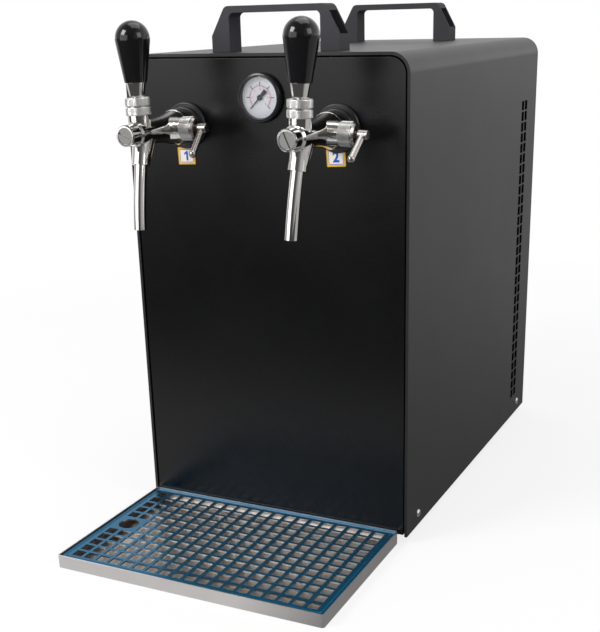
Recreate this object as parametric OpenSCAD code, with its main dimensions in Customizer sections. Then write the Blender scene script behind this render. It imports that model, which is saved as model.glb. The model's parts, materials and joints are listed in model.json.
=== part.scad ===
// Dry beer cooler with two taps, a pressure gauge and a loose drip tray.
// Frame: +Z up, the taps face -Y, the origin is at the bottom centre of the whole object.
// Every module below is drawn from the casing's front edge (y = 0) and the table (z = 0).

/* [Casing] */
// Width of the casing
body_w = 320; // [300:1:360]
// Depth of the casing
body_d = 470; // [450:1:520]
// Height of the wrap cover, without the feet
body_h = 500; // [480:1:560]
// Radius of the two top corners
corner_r = 20; // [12:1:30]
// Thickness of the casing sheet
sheet = 1.5; // [1:0.1:2]
// Depth of the doubled edge at the front and back of the wrap cover
hem_d = 10; // [8:0.5:13]
// Shadow gap between the wrap cover and the front or rear panel
panel_gap = 1.7; // [1:0.1:3]
// How far the front and rear panels sit behind the edges of the wrap cover
panel_setback = 1; // [0.5:0.1:3]
// Depth of the flange around the front and rear panels
flange_d = 16; // [14:0.5:24]
// Height of the base pan's side walls
pan_h = 34; // [28:1:50]
// Clearance between seated pieces
fit = 0.2; // [0.1:0.05:0.3]

/* [Feet] */
// Height of a rubber foot
foot_h = 8; // [6:0.5:14]
// Diameter of a rubber foot
foot_d = 30; // [24:1:40]
// Distance of a foot's centre from the casing's sides
foot_in_x = 36; // [26:1:60]
// Distance of a foot's centre from the casing's front and back
foot_in_y = 42; // [32:1:70]

/* [Side vents] */
// Columns of vent holes on each side
vent_cols = 2; // [1:1:4]
// Rows of vent holes on each side
vent_rows = 30; // [10:1:32]
// Length of a vent hole along the casing's depth
vent_w = 11; // [8:0.5:12]
// Height of a vent hole
vent_h = 11.3; // [8:0.1:12]
// Spacing of the vent columns
vent_pitch_y = 14.2; // [13:0.1:18]
// Spacing of the vent rows
vent_pitch_z = 13.3; // [13:0.1:14]
// Distance from the casing's back edge to the middle of the vent strip
vent_back = 56; // [48:1:90]
// Height of the lowest vent hole above the casing's bottom edge
vent_low = 28; // [20:1:40]

/* [Casing screws] */
// Head diameter of a casing screw
screw_head_d = 9; // [7:0.5:11]
// Head height of a casing screw
screw_head_h = 2; // [1.5:0.1:3]
// Shaft diameter of a casing screw
screw_d = 4; // [3:0.5:5]
// Distance of a casing screw from the front and back edges
screw_in_y = 35; // [25:1:60]
// Height of a casing screw above the casing's bottom edge
screw_z = 14; // [10:1:20]

/* [Carry handles] */
// Length of a carry handle
handle_l = 145; // [120:1:180]
// Height of a carry handle
handle_h = 45; // [38:0.5:60]
// Thickness of a carry handle, front to back
handle_t = 25; // [20:0.5:34]
// Width of a handle leg at its foot
leg_w = 21; // [18:0.5:28]
// Height of the upright part of a leg's outer side
leg_rise = 16; // [12:0.5:20]
// How far a leg's sloping side runs inwards
leg_slope = 16; // [10:0.5:20]
// Thickness of the grip bar
grip_t = 6.8; // [5:0.1:9]
// Radius of the handle's outer top corners
handle_r = 7; // [4:0.5:9]
// Radius of the finger opening's top corners
finger_r = 5; // [3:0.5:8]
// Wall around the pocket in a sloping side
pocket_wall = 3.2; // [2.5:0.1:4]
// Distance from the casing's front edge to the front handle
handle_front = 35; // [20:1:60]
// Distance from the casing's back edge to the rear handle
handle_back = 75; // [30:1:100]
// Diameter of a handle screw
handle_screw_d = 5; // [4:0.5:6]

/* [Taps] */
// Distance between the two taps
tap_pitch = 173; // [150:1:200]
// Sideways place of the pair of taps
tap_shift = -1.6; // [-4:0.2:4]
// Height of the taps' axes above the casing's bottom edge
tap_z = 429; // [400:1:440]
// Sideways lean of the left tap, degrees
tap_roll_left = -2; // [-4:0.5:4]
// Sideways lean of the right tap, degrees
tap_roll_right = 2; // [-4:0.5:4]
// Diameter of the black panel flange
tap_flange_d = 48; // [44:1:60]
// Diameter of the shank that passes through the panel
shank_d = 22; // [18:0.5:26]
// Diameter of the shank's collar between flange and body
collar_d = 30; // [26:0.5:36]
// Length of the shank inside the casing
shank_in = 44; // [30:1:60]
// Thickness of the panel flange
flange_t = 9; // [7:0.5:12]
// Distance from the panel to the wide rim of the tap body
rim_reach = 24; // [20:0.5:30]
// Diameter of the wide rim
rim_d = 36.4; // [35:0.2:44]
// Diameter of the tap body at its waist
waist_d = 24; // [22:0.5:26]
// Distance from the panel to the end of the funnel
waist_reach = 66; // [60:0.5:70]
// Distance from the panel to the tap's front end
tap_reach = 113; // [108:0.5:120]
// Diameter of the front end
nose_d = 20.6; // [20:0.2:22]
// Length of the front end
nose_l = 16; // [12:0.5:18]
// Diameter of the slotted front plug
plug_d = 15.4; // [14.6:0.1:18]
// Thickness of the front plug
plug_t = 3; // [2:0.1:4]
// Turn of the left plug's slot, degrees
plug_turn_left = -66; // [-90:1:90]
// Turn of the right plug's slot, degrees
plug_turn_right = -26; // [-90:1:90]
// Diameter of the bore that guides the plunger
tap_bore_d = 13.8; // [13:0.1:15]
// Diameter of the way for the drink
flow_d = 10; // [8:0.5:11]

/* [Tap handle] */
// Distance from the panel to the handle's axis
lever_reach = 86; // [82:0.5:90]
// Diameter of the neck under the rings
neck_d = 21.6; // [19:0.2:22]
// Height of the neck above the tap's axis
neck_h = 17.3; // [13:0.1:18]
// Diameter of the two knurled rings
ring_d = 24.2; // [23.6:0.1:27]
// Height of each knurled ring
ring_h = 7.8; // [7:0.1:10]
// Gap between the two knurled rings
ring_gap = 1; // [0.6:0.1:1.6]
// Diameter of the ball that the handle tilts on
ball_d = 13; // [12.4:0.1:13.4]
// Diameter of the tail under the ball
tail_d = 3.2; // [2.6:0.1:3.6]
// Diameter of the tail's round tip
tail_tip_d = 4.8; // [4:0.1:5.4]
// Height of the tail's tip above the tap's axis
tail_tip_z = 4; // [3:0.1:5]
// Height of the ferrule
ferrule_h = 13.4; // [11:0.2:16]
// Lower diameter of the ferrule
ferrule_d1 = 14.6; // [13:0.2:15]
// Upper diameter of the ferrule
ferrule_d2 = 19.4; // [17:0.2:21]
// Greatest diameter of the knob
knob_d = 33.6; // [28:0.2:36]
// Height of the knob
knob_h = 57; // [48:0.5:64]
// Backward lean of the handle at rest, degrees
handle_lean = 2; // [0:0.5:4]

/* [Spout] */
// Outer diameter of the spout tube
spout_d = 12.4; // [11:0.2:14]
// Wall of the spout tube
spout_wall = 1; // [0.8:0.1:1.2]
// Outer diameter of the spout socket
socket_d = 18.2; // [16.4:0.2:19]
// Length of the spout socket from the tap's axis
socket_l = 31; // [27:0.5:36]
// Depth of the tube's seat in the socket
socket_seat = 12; // [9:0.5:14]
// Distance from the panel to the spout's root on the tap's axis
spout_reach = 83; // [80:0.5:88]
// Forward slope of the spout at its root, degrees
spout_slope = 15; // [10:0.5:20]
// Bend of the spout tube, degrees
spout_bend = 8; // [4:0.5:12]
// Length of the curved part of the spout tube
spout_curve_l = 61; // [45:1:75]

/* [Flow control] */
// Distance from the panel to the flow lever's axis
flow_reach = 41; // [39:0.5:54]
// Length of the boss, from the tap's axis
boss_l = 18.2; // [18:0.2:22]
// Diameter of the boss
boss_d = 23; // [18:0.5:24]
// Size of the gland nut across its flats
gland_af = 24; // [20:0.5:25]
// Length of the gland nut
gland_l = 19.2; // [14:0.2:20]
// Diameter of the flow lever's spindle
spindle_d = 6.4; // [5.6:0.2:7]
// Length of the spindle outside the gland nut
spindle_out = 11.2; // [11:0.2:16]
// Diameter of the flow lever's hub
lever_hub_d = 9.6; // [9:0.2:11]
// Length of the flow lever's hub
lever_hub_l = 9.2; // [8.4:0.2:10]
// Length of the flow lever from its axis
flow_lever_l = 31.5; // [28:0.5:38]
// Width of the flow lever
flow_lever_w = 6.8; // [5:0.2:7]
// Downward slope of the left flow lever at rest, degrees
flow_slope_left = 46; // [0:1:60]
// Downward slope of the right flow lever at rest, degrees
flow_slope_right = 37; // [0:1:60]
// Running clearance of a shaft, on the radius
run_fit = 0.05; // [0.02:0.01:0.09]

/* [Gauge] */
// Sideways place of the gauge
gauge_x = 1; // [-10:0.5:10]
// Distance of the gauge's centre below the casing's top
gauge_drop = 42.5; // [38:0.5:70]
// Outer diameter of the gauge's bezel
bezel_d = 49; // [46:0.5:56]
// Diameter of the gauge's dial
dial_d = 40; // [36:0.2:41]
// How far the bezel stands out of the panel
bezel_t = 7.5; // [7:0.5:12]
// Diameter of the gauge's case behind the panel
gauge_case_d = 42; // [42:0.5:46]
// Depth of the gauge's case behind the panel
gauge_case_l = 28; // [20:1:36]
// Thickness of the gauge's lens
lens_t = 1.2; // [1:0.1:2]
// Room between dial and lens
dial_room = 2.8; // [2.6:0.1:4]
// Length of the gauge's needle from its centre
needle_l = 15.5; // [12:0.5:17]

/* [Drip tray] */
// Width of the drip tray
tray_w = 308; // [280:1:340]
// Length of the drip tray
tray_l = 192; // [170:1:220]
// Height of the drip tray
tray_h = 14.2; // [12:0.2:20]
// Sideways place of the drip tray
tray_x = -4; // [-6:0.5:6]
// Corner radius of the drip tray
tray_r = 3; // [3:0.5:9]
// Thickness of the tray's sheet
tray_t = 1.2; // [1:0.1:1.6]
// Gap between the drip tray and the casing
tray_gap = 0.4; // [0.3:0.1:2]
// Width of the ledge inside the tray that carries the grid
ledge_w = 4; // [3:0.5:6]
// Thickness of the drip grid
grid_t = 1.6; // [1.2:0.1:2]
// Height of the drip grid's turned-down edge
grid_lip = 3; // [2:0.1:4]
// Depth of the drip grid below the tray's rim
grid_drop = 1.8; // [1:0.1:3]
// Clearance around the drip grid
grid_gap = 0.7; // [0.4:0.1:1.2]
// Columns of square holes in the drip grid
grid_cols = 19; // [12:1:20]
// Rows of square holes in the drip grid
grid_rows = 12; // [8:1:12]
// Spacing of the grid's columns
grid_pitch_x = 15.2; // [13:0.1:15.4]
// Spacing of the grid's rows
grid_pitch_y = 14.7; // [13:0.1:14.9]
// Width of a hole in the drip grid
grid_hole_x = 11.6; // [8:0.1:12]
// Length of a hole in the drip grid
grid_hole_y = 11.2; // [8:0.1:12]
// Diameter of the finger hole in the drip grid
finger_hole_d = 23; // [16:0.5:25]

/* [Back fittings] */
// Spacing of the three line unions
union_pitch = 45; // [36:1:55]
// Outer diameter of a line union
union_d = 18; // [17:0.5:22]
// How far a line union stands out of the rear panel
union_out = 16; // [15:0.5:22]
// Length of a line union inside the casing
union_in = 26; // [20:1:34]
// Diameter of the line that pushes into a union
line_d = 9.5; // [8:0.1:10]
// Depth of a line in a union
line_depth = 15; // [13:0.5:15]
// Travel of a union's collet
collet_travel = 1.2; // [0.8:0.1:1.6]
// Height of the back fittings' row below the casing's top
fittings_drop = 70; // [64:1:90]
// Sideways place of the thermostat knob
thermostat_x = 105; // [90:1:115]
// Diameter of the thermostat knob
dial_knob_d = 34; // [28:1:40]
// Reach of the thermostat knob behind the rear panel
dial_knob_t = 14; // [10:0.5:15]
// Width of the mains switch
switch_w = 26; // [22:0.5:30]
// Height of the mains switch
switch_h = 32; // [30:0.5:36]
// Tilt of the rocker to each side, degrees
rocker_tilt = 8; // [5:0.5:10]
// Distance of the mains inlet below the switch
inlet_drop = 52; // [48:1:64]
// Width of the mains inlet's flange
inlet_w = 48; // [44:1:56]
// Height of the mains inlet's flange
inlet_h = 28; // [26:1:34]

/* [Rear grille] */
// Rows of slots in the rear grille
grille_rows = 20; // [10:1:24]
// Height of a grille slot
grille_slot_h = 6; // [4:0.5:7]
// Length of a grille slot
grille_slot_l = 110; // [80:1:120]
// Spacing of the grille's rows
grille_pitch = 12; // [10:0.5:13]
// Height of the lowest slot above the casing's bottom edge
grille_low = 50; // [36:1:70]

/* [Cooling] */
// Width of the foam jacket
jacket_w = 240; // [220:1:260]
// Height of the foam jacket
jacket_h = 330; // [280:1:345]
// Wall of the foam jacket
jacket_t = 25; // [15:1:35]
// Distance from the front panel to the foam jacket
jacket_y = 40; // [35:1:50]
// Diameter of the compressor's can
can_d = 112; // [100:1:120]
// Height of the compressor's can
can_h = 150; // [130:1:170]
// Distance of the compressor and the air pump from the casing's back edge
machine_back = 185; // [178:1:195]
// Gap between the foam jacket and the compressor
machine_gap = 33.5; // [20:0.5:50]
// Sideways place of the compressor
can_x = -72; // [-80:1:-68]
// Width of the condenser
condenser_w = 230; // [210:1:250]
// Depth of the condenser
condenser_d = 25; // [20:1:30]
// Height of the condenser
condenser_h = 235; // [220:1:250]
// Distance of the condenser's rear face from the casing's back edge
condenser_back = 45; // [42:1:50]
// Number of condenser fins
fin_n = 22; // [12:1:30]
// Passes of the condenser's tube
pass_n = 8; // [4:1:10]
// Diameter of the fan
fan_d = 164; // [140:1:170]
// Number of fan blades
blade_n = 5; // [3:1:7]
// Depth of the fan's ring
fan_ring_l = 22; // [20:1:26]
// Sideways place of the air pump
pump_x = 75; // [68:1:80]
// Diameter of the air pump's motor
pump_d = 62; // [50:1:66]
// Length of the air pump's motor
pump_l = 86; // [70:1:96]
// Diameter of the refrigerant pipes and air lines
pipe_d = 8; // [6:0.5:9]
// Bend radius of pipes and lines
pipe_bend = 18; // [14:1:20]

/* [Hidden] */
$fn = 64;
eps = 1;

// Casing
top_z = foot_h + body_h;
floor_z = foot_h + sheet;
panel_inset = 2 * sheet + panel_gap;
panel_in = panel_setback + sheet;
rear_out = body_d - panel_setback;
rear_in = rear_out - sheet;
pan_w = body_w - 2 * sheet - 2 * fit;
screw_r = screw_d / 2;
handle_screw_r = handle_screw_d / 2;
handle_rear_y = body_d - handle_back - handle_t;
leg_x = handle_l / 2 - leg_w / 2;

// Taps
tap_axis_z = foot_h + tap_z;
shank_r = shank_d / 2;
flow_r = flow_d / 2;
waist_r = waist_d / 2;
rim_lip = 2;
rim_step = 1;
funnel_from = rim_reach + rim_lip + rim_step;
funnel_rise = rim_d / 2 - rim_step - waist_r;
funnel_run = waist_reach - funnel_from;
funnel_r = (funnel_rise * funnel_rise + funnel_run * funnel_run) / (2 * funnel_rise);
nose_step = 2;
plug_sink = 0.5;
flare_back = 3;
flare_stop = 2;
shank_nut_t = 9;
bonnet_top = neck_h + ring_h;
ring_top = bonnet_top + ring_gap + ring_h;
pivot_z = bonnet_top + 1.9;
tail_l = pivot_z - tail_tip_z;
tail_room = 6.9;
ball_fit = 0.1;
ferrule_gap = 0.6;
ferrule_z = ring_top + ferrule_gap - pivot_z;
knob_z = ferrule_z + ferrule_h;
stud_r = 3;
plunger_fit = 0.3;
plunger_r = tap_bore_d / 2 - plunger_fit;
plunger_shift = tail_l * sin(handle_lean);
plunger_back = 18;
plunger_front = 16;
plunger_slot = tail_tip_d / 2 + 0.5;
tail_sweep = 11;
tail_roof = waist_r - 2.5;
neck_sweep = neck_d / 2 - 1.6;
spout_r = spout_d / 2;
spout_bore_r = spout_r - spout_wall;
spout_curve_r = spout_curve_l / spout_bend * 180 / PI;
gland_from = boss_l;
gland_to = gland_from + gland_l;
spindle_r = spindle_d / 2;
spindle_end = gland_to + spindle_out;
vane_t = 1.6;
vane_r = flow_r - 0.6;
lever_hub_r = lever_hub_d / 2;

// Drip tray
ledge_z = tray_h - grid_drop - grid_t - grid_lip;

// Gauge
gauge_z = top_z - gauge_drop;
dial_t = 1;
lens_in = 1.4;
lens_y = lens_in - bezel_t;
dial_face_y = lens_y + lens_t + dial_room;

// Back fittings and overall length
collet_head = 1.5;
collet_gap = collet_travel + 0.3;
fittings_z = top_z - fittings_drop;
rear_reach = union_out + collet_gap + collet_head - panel_setback;
total_l = tray_l + tray_gap + body_d + rear_reach;
front_y = tray_l + tray_gap - total_l / 2;
union_r = union_d / 2;
line_r = line_d / 2 + 0.05;
collet_room_r = line_r + 2;
collet_l = 6;
rocker_axis = 4;
trunnion_r = 1.5;
inlet_z = fittings_z - inlet_drop;

// Machines
jacket_top = floor_z + jacket_h;
jacket_front = panel_in + jacket_y;
machine_y = body_d - machine_back;
can_band = 3;
jacket_d = machine_y - can_d / 2 - can_band - machine_gap - jacket_front;
jacket_mid = jacket_front + jacket_d / 2;
can_foot = 12;
can_top = floor_z + can_foot + can_h + 14;
condenser_front = body_d - condenser_back - condenser_d;
condenser_top = floor_z + condenser_h;
fan_z = floor_z + condenser_h / 2;
pass_low = 24;
pass_top = 20;
drier_l = 80;
frame_t = 1.5;
fan_face = condenser_front - frame_t;
fan_gap = 3;
hub_r = 24;
motor_r = 27;
motor_l = 36;
motor_front = fan_face - fan_ring_l - motor_l;
pump_z = floor_z + 14 + pump_d / 2;
pump_top = pump_z + pump_d / 2 + 36;
pipe_r = pipe_d / 2;
line_tube_r = line_d / 2;
over_z = jacket_top + 2 * pipe_bend;
union_end = rear_out - union_in;
gas_z = fittings_z - 2 * pipe_bend - 5;

// Shared shapes

function unit(v) = v / norm(v);
function half_turn(p, q, s) = acos(unit(p - q) * unit(s - q)) / 2;
function arc_reach(p, q, s, r) = r / tan(half_turn(p, q, s));
function arc_centre(p, q, s, r) = q + unit(unit(p - q) + unit(s - q)) * r / sin(half_turn(p, q, s));

// Convex outline through pts, with an arc of its own radius at each corner
module round_outline(pts, radii) {
    n = len(pts);
    polygon([for (i = [0 : n - 1])
        let (p = pts[(i + n - 1) % n], q = pts[i], s = pts[(i + 1) % n], reach = arc_reach(p, q, s, radii[i]))
        each radii[i] > 0 ? [q + unit(p - q) * reach, q + unit(s - q) * reach] : [q]]);
    for (i = [0 : n - 1])
        if (radii[i] > 0)
            translate(arc_centre(pts[(i + n - 1) % n], pts[i], pts[(i + 1) % n], radii[i])) circle(radii[i]);
}

// Rectangle with round corners, centred
module round_rect(w, l, r) {
    square([w - 2 * r, l], center = true);
    square([w, l - 2 * r], center = true);
    for (x = [-1, 1], y = [-1, 1])
        translate([x * (w / 2 - r), y * (l / 2 - r)]) circle(r);
}

// Slot with round ends, centred, lying along X
module slot_outline(l, h) {
    square([l - h, h], center = true);
    for (x = [-1, 1])
        translate([x * (l - h) / 2, 0]) circle(h / 2);
}

// Extrude an outline drawn in X and Z backwards from y0
module upright(y0, depth) {
    translate([0, y0 + depth, 0]) rotate([90, 0, 0]) linear_extrude(depth) children();
}

// Turn a profile of radius and outward reach about the Y axis
module turned_out() {
    rotate([90, 0, 0]) rotate_extrude() children();
}

module along_x(x0, x1, r) {
    translate([x0, 0, 0]) rotate([0, 90, 0]) cylinder(r = r, h = x1 - x0);
}

module along_y(y0, y1, r) {
    translate([0, y0, 0]) rotate([-90, 0, 0]) cylinder(r = r, h = y1 - y0);
}

module both_sides() {
    for (s = [-1, 1])
        scale_x(s) children();
}

module scale_x(s) {
    mirror([s < 0 ? 1 : 0, 0, 0]) children();
}

// Outline of the casing seen from the front, standing low above the table
module casing_outline(inset, low) {
    w = body_w - 2 * inset;
    r = max(corner_r - inset, 1);
    translate([-w / 2, low]) square([w, top_z - inset - r - low]);
    translate([r - w / 2, low]) square([w - 2 * r, top_z - inset - low]);
    for (s = [-1, 1])
        translate([s * (w / 2 - r), top_z - inset - r]) circle(r);
}

module rod_between(a, b, r) {
    d = b - a;
    translate(a) rotate([0, acos(d[2] / norm(d)), atan2(d[1], d[0])]) cylinder(r = r, h = norm(d));
}

// Quarter bend at q between the square directions from p and to s
module elbow(p, q, s, r, bend) {
    from = unit(q - p);
    to = unit(s - q);
    n = cross(from, to);
    c = q - from * bend + to * bend;
    multmatrix([
        [-to[0], from[0], n[0], c[0]],
        [-to[1], from[1], n[1], c[1]],
        [-to[2], from[2], n[2], c[2]]
    ]) rotate_extrude(angle = 90) translate([bend, 0]) circle(r);
}

// Pipe along a path of square corners, with a bend at each
module bent_pipe(path, r, bend) {
    last = len(path) - 1;
    for (i = [0 : last - 1]) {
        d = unit(path[i + 1] - path[i]);
        a = i == 0 ? path[i] : path[i] + d * bend;
        b = i == last - 1 ? path[i + 1] : path[i + 1] - d * bend;
        rod_between(a, b, r);
    }
    for (i = [1 : 1 : last - 1])
        elbow(path[i - 1], path[i], path[i + 1], r, bend);
}

// Casing

module base_pan() {
    y0 = hem_d + fit;
    l = body_d - 2 * y0;
    color("dimgray") difference() {
        translate([-pan_w / 2, y0, foot_h]) cube([pan_w, l, pan_h]);
        translate([sheet - pan_w / 2, y0 - eps, floor_z]) cube([pan_w - 2 * sheet, l + 2 * eps, pan_h]);
        casing_screw_holes();
    }
}

module casing_screw_places() {
    for (y = [screw_in_y, body_d - screw_in_y])
        translate([0, y, foot_h + screw_z]) children();
}

module casing_screw_holes() {
    casing_screw_places() along_x(-body_w / 2 - eps, body_w / 2 + eps, screw_r + fit);
}

module vent_holes() {
    strip = (vent_cols - 1) * vent_pitch_y + vent_w;
    for (c = [0 : vent_cols - 1], r = [0 : vent_rows - 1])
        translate([
            -body_w / 2 - eps,
            body_d - vent_back - strip / 2 + c * vent_pitch_y,
            foot_h + vent_low + r * vent_pitch_z
        ]) cube([body_w + 2 * eps, vent_w, vent_h]);
}

module wrap_cover() {
    color([0.15, 0.15, 0.16]) difference() {
        upright(0, body_d) casing_outline(0, foot_h);
        upright(-eps, body_d + 2 * eps) casing_outline(2 * sheet, foot_h - eps);
        upright(hem_d, body_d - 2 * hem_d) casing_outline(sheet, foot_h - eps);
        vent_holes();
        casing_screw_holes();
        handle_screw_places() cylinder(r = handle_screw_r + fit, h = 4 * sheet, center = true);
    }
}

// Pan-shaped panel with its flange towards +Y
module flanged_panel(y0) {
    difference() {
        upright(y0, flange_d) casing_outline(panel_inset, floor_z);
        upright(y0 + sheet, flange_d) casing_outline(panel_inset + sheet, floor_z + sheet);
    }
}

module front_panel() {
    color([0.11, 0.11, 0.13]) difference() {
        flanged_panel(panel_setback);
        translate([tap_shift, 0, tap_axis_z]) both_sides() translate([tap_pitch / 2, 0, 0])
            along_y(0, flange_d, shank_r + fit);
        translate([gauge_x, 0, gauge_z]) along_y(0, flange_d, gauge_case_d / 2 + fit);
    }
}

module rear_panel() {
    color([0.14, 0.14, 0.15]) difference() {
        translate([0, body_d, 0]) mirror([0, 1, 0]) flanged_panel(panel_setback);
        grille_slots();
        union_places() along_y(-flange_d, flange_d, union_r - 1 + fit);
        at_thermostat() along_y(-flange_d, flange_d, 5);
        at_switch() cube([switch_w - 4 + 2 * fit, 2 * flange_d, switch_h - 4 + 2 * fit], center = true);
        at_inlet() cube([inlet_w - 18 + 2 * fit, 2 * flange_d, inlet_h - 6 + 2 * fit], center = true);
    }
}

module grille_slots() {
    upright(rear_in - eps, sheet + 2 * eps)
        for (x = [-1, 1], r = [0 : grille_rows - 1])
            translate([x * (grille_slot_l / 2 + 8), foot_h + grille_low + r * grille_pitch])
                slot_outline(grille_slot_l, grille_slot_h);
}

module rubber_feet() {
    color([0.08, 0.08, 0.08])
        for (x = [-1, 1], y = [foot_in_y, body_d - foot_in_y])
            translate([x * (body_w / 2 - foot_in_x), y, 0]) rotate_extrude() polygon([
                [3, 1.5], [5, 1.5], [5, 0], [foot_d / 2 - 3, 0], [foot_d / 2, 2.5],
                [foot_d / 2 - 1.5, foot_h], [3, foot_h]
            ]);
}

module handle_outline() {
    half = handle_l / 2;
    top = half - leg_slope;
    round_outline(
        [[-half, 0], [half, 0], [half, leg_rise], [top, handle_h], [-top, handle_h], [-half, leg_rise]],
        [0, 0, 0, handle_r, handle_r, 0]
    );
}

module finger_outline() {
    half = handle_l / 2 - leg_w;
    round_outline(
        [[-half, -eps], [half, -eps], [half, handle_h - grip_t], [-half, handle_h - grip_t]],
        [0, 0, finger_r, finger_r]
    );
}

// One handle: a bridge whose sloping ends are open pockets that take the screws
module carry_handle(y0) {
    pocket_x = handle_l / 2 - leg_w + pocket_wall;
    pocket_h = handle_h - leg_rise - grip_t;
    color([0.13, 0.13, 0.14]) difference() {
        translate([0, y0, top_z]) upright(0, handle_t) handle_outline();
        translate([0, y0 - eps, top_z]) upright(0, handle_t + 2 * eps) finger_outline();
        both_sides() translate([pocket_x, y0 + pocket_wall, top_z + leg_rise])
            cube([leg_w, handle_t - 2 * pocket_wall, pocket_h]);
        both_sides() translate([leg_x, y0 + handle_t / 2, top_z - eps])
            cylinder(r = handle_screw_r + fit, h = leg_rise + 2 * eps);
    }
}

module carry_handle_front() {
    carry_handle(handle_front);
}

module carry_handle_rear() {
    carry_handle(handle_rear_y);
}

module handle_screw_places() {
    for (y = [handle_front, handle_rear_y])
        both_sides() translate([leg_x, y + handle_t / 2, top_z]) children();
}

// Socket screw in a handle's pocket, with its nut under the sheet
module handle_screws() {
    head_r = handle_screw_r * 1.7;
    nut_h = 4;
    color("silver") handle_screw_places() {
        difference() {
            translate([0, 0, leg_rise]) cylinder(r = head_r, h = handle_screw_d);
            translate([0, 0, leg_rise + 2]) cylinder(r = handle_screw_r, h = handle_screw_d, $fn = 6);
        }
        translate([0, 0, -sheet - nut_h - 2]) cylinder(r = handle_screw_r, h = leg_rise + sheet + nut_h + 3);
        translate([0, 0, -sheet - nut_h]) cylinder(r = handle_screw_d, h = nut_h, $fn = 6);
    }
}

module casing_screws() {
    shaft_l = 2 * sheet + fit + 6;
    r = screw_head_d / 2;
    color("silver") both_sides() casing_screw_places() translate([body_w / 2, 0, 0]) difference() {
        union() {
            rotate([0, 90, 0]) rotate_extrude() polygon([
                [0, 0], [r, 0], [r - 0.2, 0.6], [r - 1.4, screw_head_h - 0.2], [r - 2, screw_head_h],
                [0, screw_head_h]
            ]);
            along_x(-shaft_l, 0.5, screw_r);
        }
        for (a = [0, 90])
            rotate([a, 0, 0]) translate([screw_head_h, 0, 0]) cube([2, 1, r], center = true);
    }
}

// Taps, each drawn about its own axis, with y = 0 on the panel's face

module at_tap(side) {
    translate([tap_shift + side * tap_pitch / 2, panel_setback, tap_axis_z])
        rotate([0, side < 0 ? tap_roll_left : tap_roll_right, 0]) children();
}

module tap_flange() {
    r = tap_flange_d / 2;
    step_r = r - 4.5;
    color([0.08, 0.08, 0.09]) turned_out() polygon([
        [shank_r + fit, 0], [r, 0], [r, 2.6], [r - 1.4, 4], [step_r, 4],
        [step_r, flange_t - 1.2], [step_r - 1.2, flange_t], [shank_r + fit, flange_t]
    ]);
}

module tap_shank() {
    r = collar_d / 2;
    color([0.1, 0.1, 0.11]) difference() {
        union() {
            along_y(-rim_reach, shank_in, shank_r);
            along_y(-rim_reach, -flange_t, r);
        }
        along_y(-rim_reach - eps, shank_in + eps, flow_r);
        for (a = [0 : 60 : 300])
            rotate([0, a, 0]) translate([r, -(rim_reach + flange_t) / 2, 0])
                cube([4, (rim_reach - flange_t) * 0.6, 5], center = true);
    }
}

module shank_nuts() {
    color("silver")
        for (side = [-1, 1])
            at_tap(side) difference() {
                translate([0, sheet, 0]) rotate([-90, 0, 0])
                    cylinder(r = shank_d * 0.85, h = shank_nut_t, $fn = 6);
                along_y(0, sheet + shank_nut_t + eps, shank_r + fit);
            }
}

module tap_body() {
    nose_from = tap_reach - nose_l;
    color([0.78, 0.77, 0.75]) difference() {
        union() {
            turned_out() difference() {
                translate([0, rim_reach]) square([rim_d / 2, nose_from - rim_reach]);
                translate([waist_r + funnel_r, waist_reach]) circle(funnel_r, $fn = 360);
                translate([waist_r, waist_reach]) square([rim_d, tap_reach]);
                translate([rim_d / 2 - rim_step, rim_reach + rim_lip]) square([rim_d, tap_reach]);
            }
            turned_out() polygon([
                [0, nose_from - eps], [waist_r, nose_from - eps], [waist_r, nose_from],
                [nose_d / 2, nose_from + nose_step], [nose_d / 2, tap_reach - 1],
                [nose_d / 2 - 1, tap_reach], [0, tap_reach]
            ]);
            translate([0, -lever_reach, 0]) cylinder(r = neck_d / 2, h = neck_h);
            at_spout() cylinder(r = socket_d / 2, h = socket_l);
            spout_flare();
            translate([0, -flow_reach, 0]) along_x(0, boss_l, boss_d / 2);
        }
        along_y(-tap_reach + plug_t - eps, -flow_reach - flow_d, tap_bore_d / 2);
        along_y(-tap_reach - eps, -tap_reach + plug_t, plug_d / 2 + fit);
        along_y(-flow_reach - flow_d - eps, -rim_reach + eps, flow_r);
        translate([0, -lever_reach, tap_bore_d / 4]) cylinder(r = tail_room, h = neck_h);
        translate([-plunger_slot, -lever_reach - tail_sweep, 0])
            cube([2 * plunger_slot, 2 * tail_sweep, tail_roof]);
        translate([-plunger_slot, -lever_reach - neck_sweep, tail_roof - eps])
            cube([2 * plunger_slot, 2 * neck_sweep, neck_h]);
        at_spout() cylinder(r = spout_bore_r, h = socket_l);
        at_spout() translate([0, 0, socket_l - socket_seat]) cylinder(r = spout_r + fit, h = socket_l);
        translate([0, -flow_reach, 0]) along_x(1 - flow_r, boss_l + eps, spindle_r + 0.3);
    }
}

// Z points down the spout from its root on the tap's axis
module at_spout() {
    translate([0, -spout_reach, 0]) rotate([180 - spout_slope, 0, 0]) children();
}

// Cone that runs from the barrel into the spout socket, set back so that it flares towards the panel
module spout_flare() {
    run = socket_l - flare_stop;
    out = run * sin(spout_slope) + flare_back;
    drop = run * cos(spout_slope);
    translate([0, flare_back - spout_reach, 0]) rotate([180 - atan2(out, drop), 0, 0])
        cylinder(r1 = waist_r - 0.1, r2 = socket_d / 2 - 0.3, h = sqrt(out * out + drop * drop));
}

module tap_plug(turn) {
    face = plug_sink - tap_reach;
    color([0.6, 0.6, 0.6]) difference() {
        along_y(face, -tap_reach + plug_t, plug_d / 2);
        rotate([0, turn, 0]) translate([0, face, 0]) cube([1.6, 2.4, plug_d + 1], center = true);
    }
}

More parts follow.
